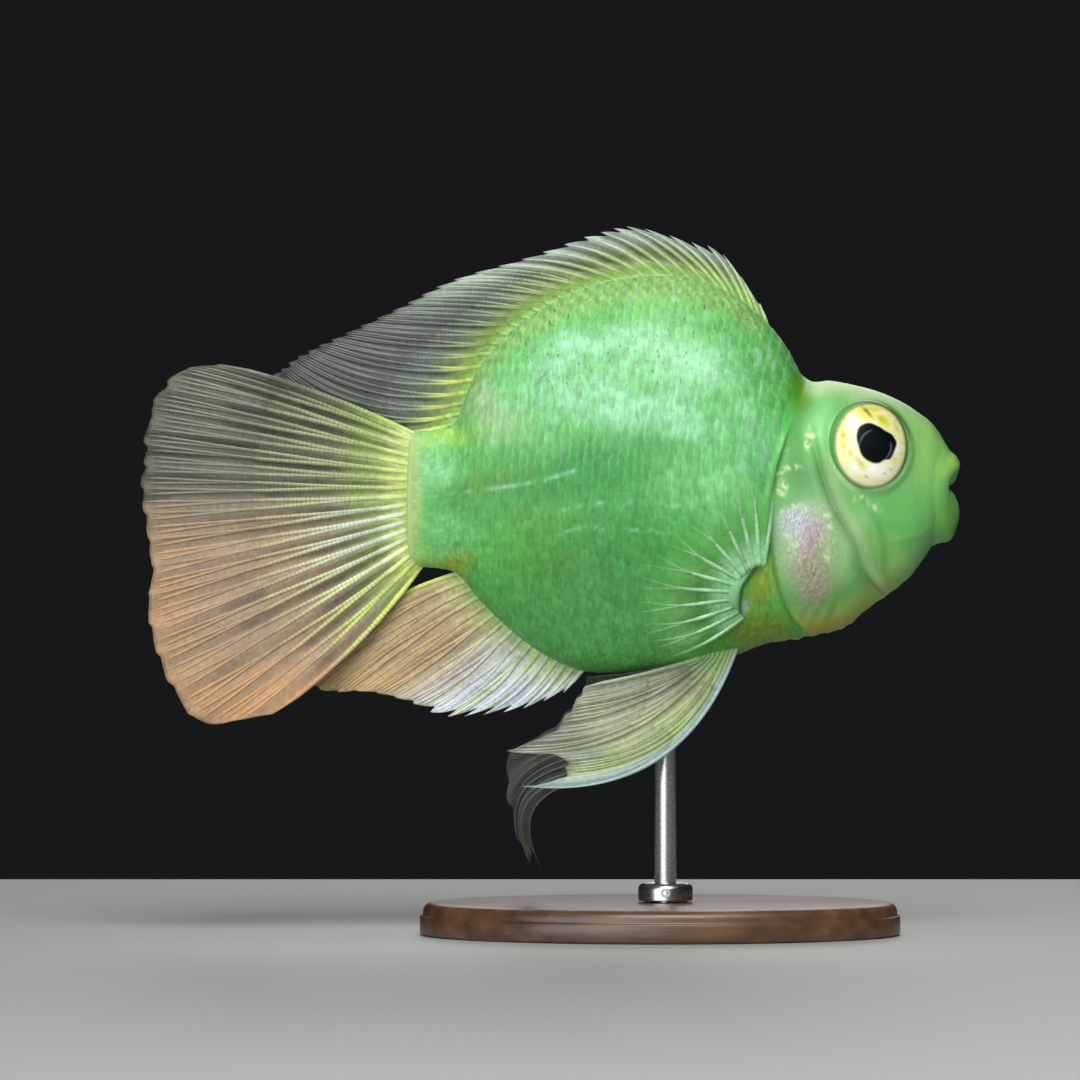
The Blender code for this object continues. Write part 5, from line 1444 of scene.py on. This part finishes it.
def turned_piece(name, rings, around, centre_x=0.0):
    """A closed turned form from (half length, half width, height) rings that start and end on its axis."""
    turn = np.arange(around) * 2 * math.pi / around
    points = [np.stack([
        centre_x + half_length * np.cos(turn), half_width * np.sin(turn),
        np.full(around, height - AXIS_HEIGHT)], -1) for half_length, half_width, height in rings]
    piece = mesh_piece(name, np.stack(points), grid_faces(len(points), around))
    turn_outwards(piece, merge=0.002)
    return piece


walnut, tree, shader = new_material("oiled_walnut", 0.38, Coat_Weight=0.25, Coat_Roughness=0.25)
grain = stretched_noise(tree, (0.16, 1.0, 1.0), 420.0, detail=6.0)
figure = stretched_noise(tree, (0.3, 1.0, 0.6), 60.0, detail=2.0)
bands = remap(tree, plus(tree, times(tree, grain, 0.55), times(tree, figure, 0.6)), (0.38, 0.78))
feed(tree, shader, mix_colours(tree, bands, (0.032, 0.014, 0.008), (0.17, 0.082, 0.042)))
pores = stretched_noise(tree, (0.05, 1.0, 1.0), 2200.0, detail=2.0)
roughen(tree, shader, plus(tree, pores, grain), 0.25, 0.0002)

steel, tree, shader = new_material("brushed_steel", 0.28, Metallic=1.0)
shader.inputs["Base Color"].default_value = (0.56, 0.56, 0.57, 1)
brushing = stretched_noise(tree, (1.0, 1.0, 14.0), 700.0)
feed(tree, shader, remap(tree, brushing, end=(0.2, 0.36)), "Roughness")
roughen(tree, shader, brushing, 0.15, 0.00005)

rod_high = AXIS_HEIGHT + float(smooth(BELLY_LINE, ROD_X)) + ROD_BURIED
base_rings = [
    (BASE_LENGTH / 2 - inset, BASE_WIDTH / 2 - inset, height)
    for inset, height in [(INNER_RING, 0.0), *BASE_EDGE, (INNER_RING, BASE_THICKNESS)]
]
base = turned_piece("walnut_base", [(0, 0, 0.0), *base_rings, (0, 0, BASE_THICKNESS)], 192)
rod_profile = [
    (0.0, ROD_LOW), (1.7, ROD_LOW), (ROD_RADIUS, ROD_LOW + 0.3), (ROD_RADIUS, 12.0), (ROD_RADIUS, 30.0),
    (ROD_RADIUS, rod_high - 0.3), (1.7, rod_high), (0.0, rod_high),
]
collar_profile = [
    (0.0, COLLAR_FOOT), (4.8, COLLAR_FOOT), (COLLAR_RADIUS, COLLAR_FOOT + 0.2),
    (COLLAR_RADIUS, COLLAR_TOP - 1.0), (4.9, COLLAR_TOP - 0.65), (4.6, COLLAR_TOP - 0.25),
    (4.2, COLLAR_TOP), (2.35, COLLAR_TOP), (2.1, COLLAR_TOP - 0.15), (0.0, COLLAR_TOP - 0.15),
]
rod, collar = (
    turned_piece(name, [(radius, radius, height) for radius, height in profile], around, ROD_X)
    for name, profile, around in (("steel_rod", rod_profile, 64), ("steel_collar", collar_profile, 96)))
turn = np.arange(SCREW_AROUND) * 2 * math.pi / SCREW_AROUND
hexagon = math.cos(math.pi / 6) / np.cos((turn % (math.pi / 3)) - math.pi / 6)
screw = []
for plain_radius, hexagon_radius, deep in SCREW_RINGS:
    radius = plain_radius + hexagon_radius * hexagon
    screw.append(np.stack([
        ROD_X + radius * np.cos(turn), np.full(SCREW_AROUND, -COLLAR_RADIUS - 0.06 + deep),
        SCREW_Z - AXIS_HEIGHT + radius * np.sin(turn)], -1))
set_screw = mesh_piece("set_screw", np.stack(screw), grid_faces(len(screw), SCREW_AROUND))
turn_outwards(set_screw, merge=0.002)
for piece, node, slot, finish in (
    (base, "stand_base", "walnut", walnut), (rod, "stand_rod", "steel", steel),
    (collar, "stand_collar", "steel", steel), (set_screw, "stand_collar", "steel", steel),
):
    select_only(piece)
    bpy.ops.object.shade_smooth_by_angle(angle=math.radians(32))
    piece.data.materials.append(finish)
    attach(piece, "root")
    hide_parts(node)
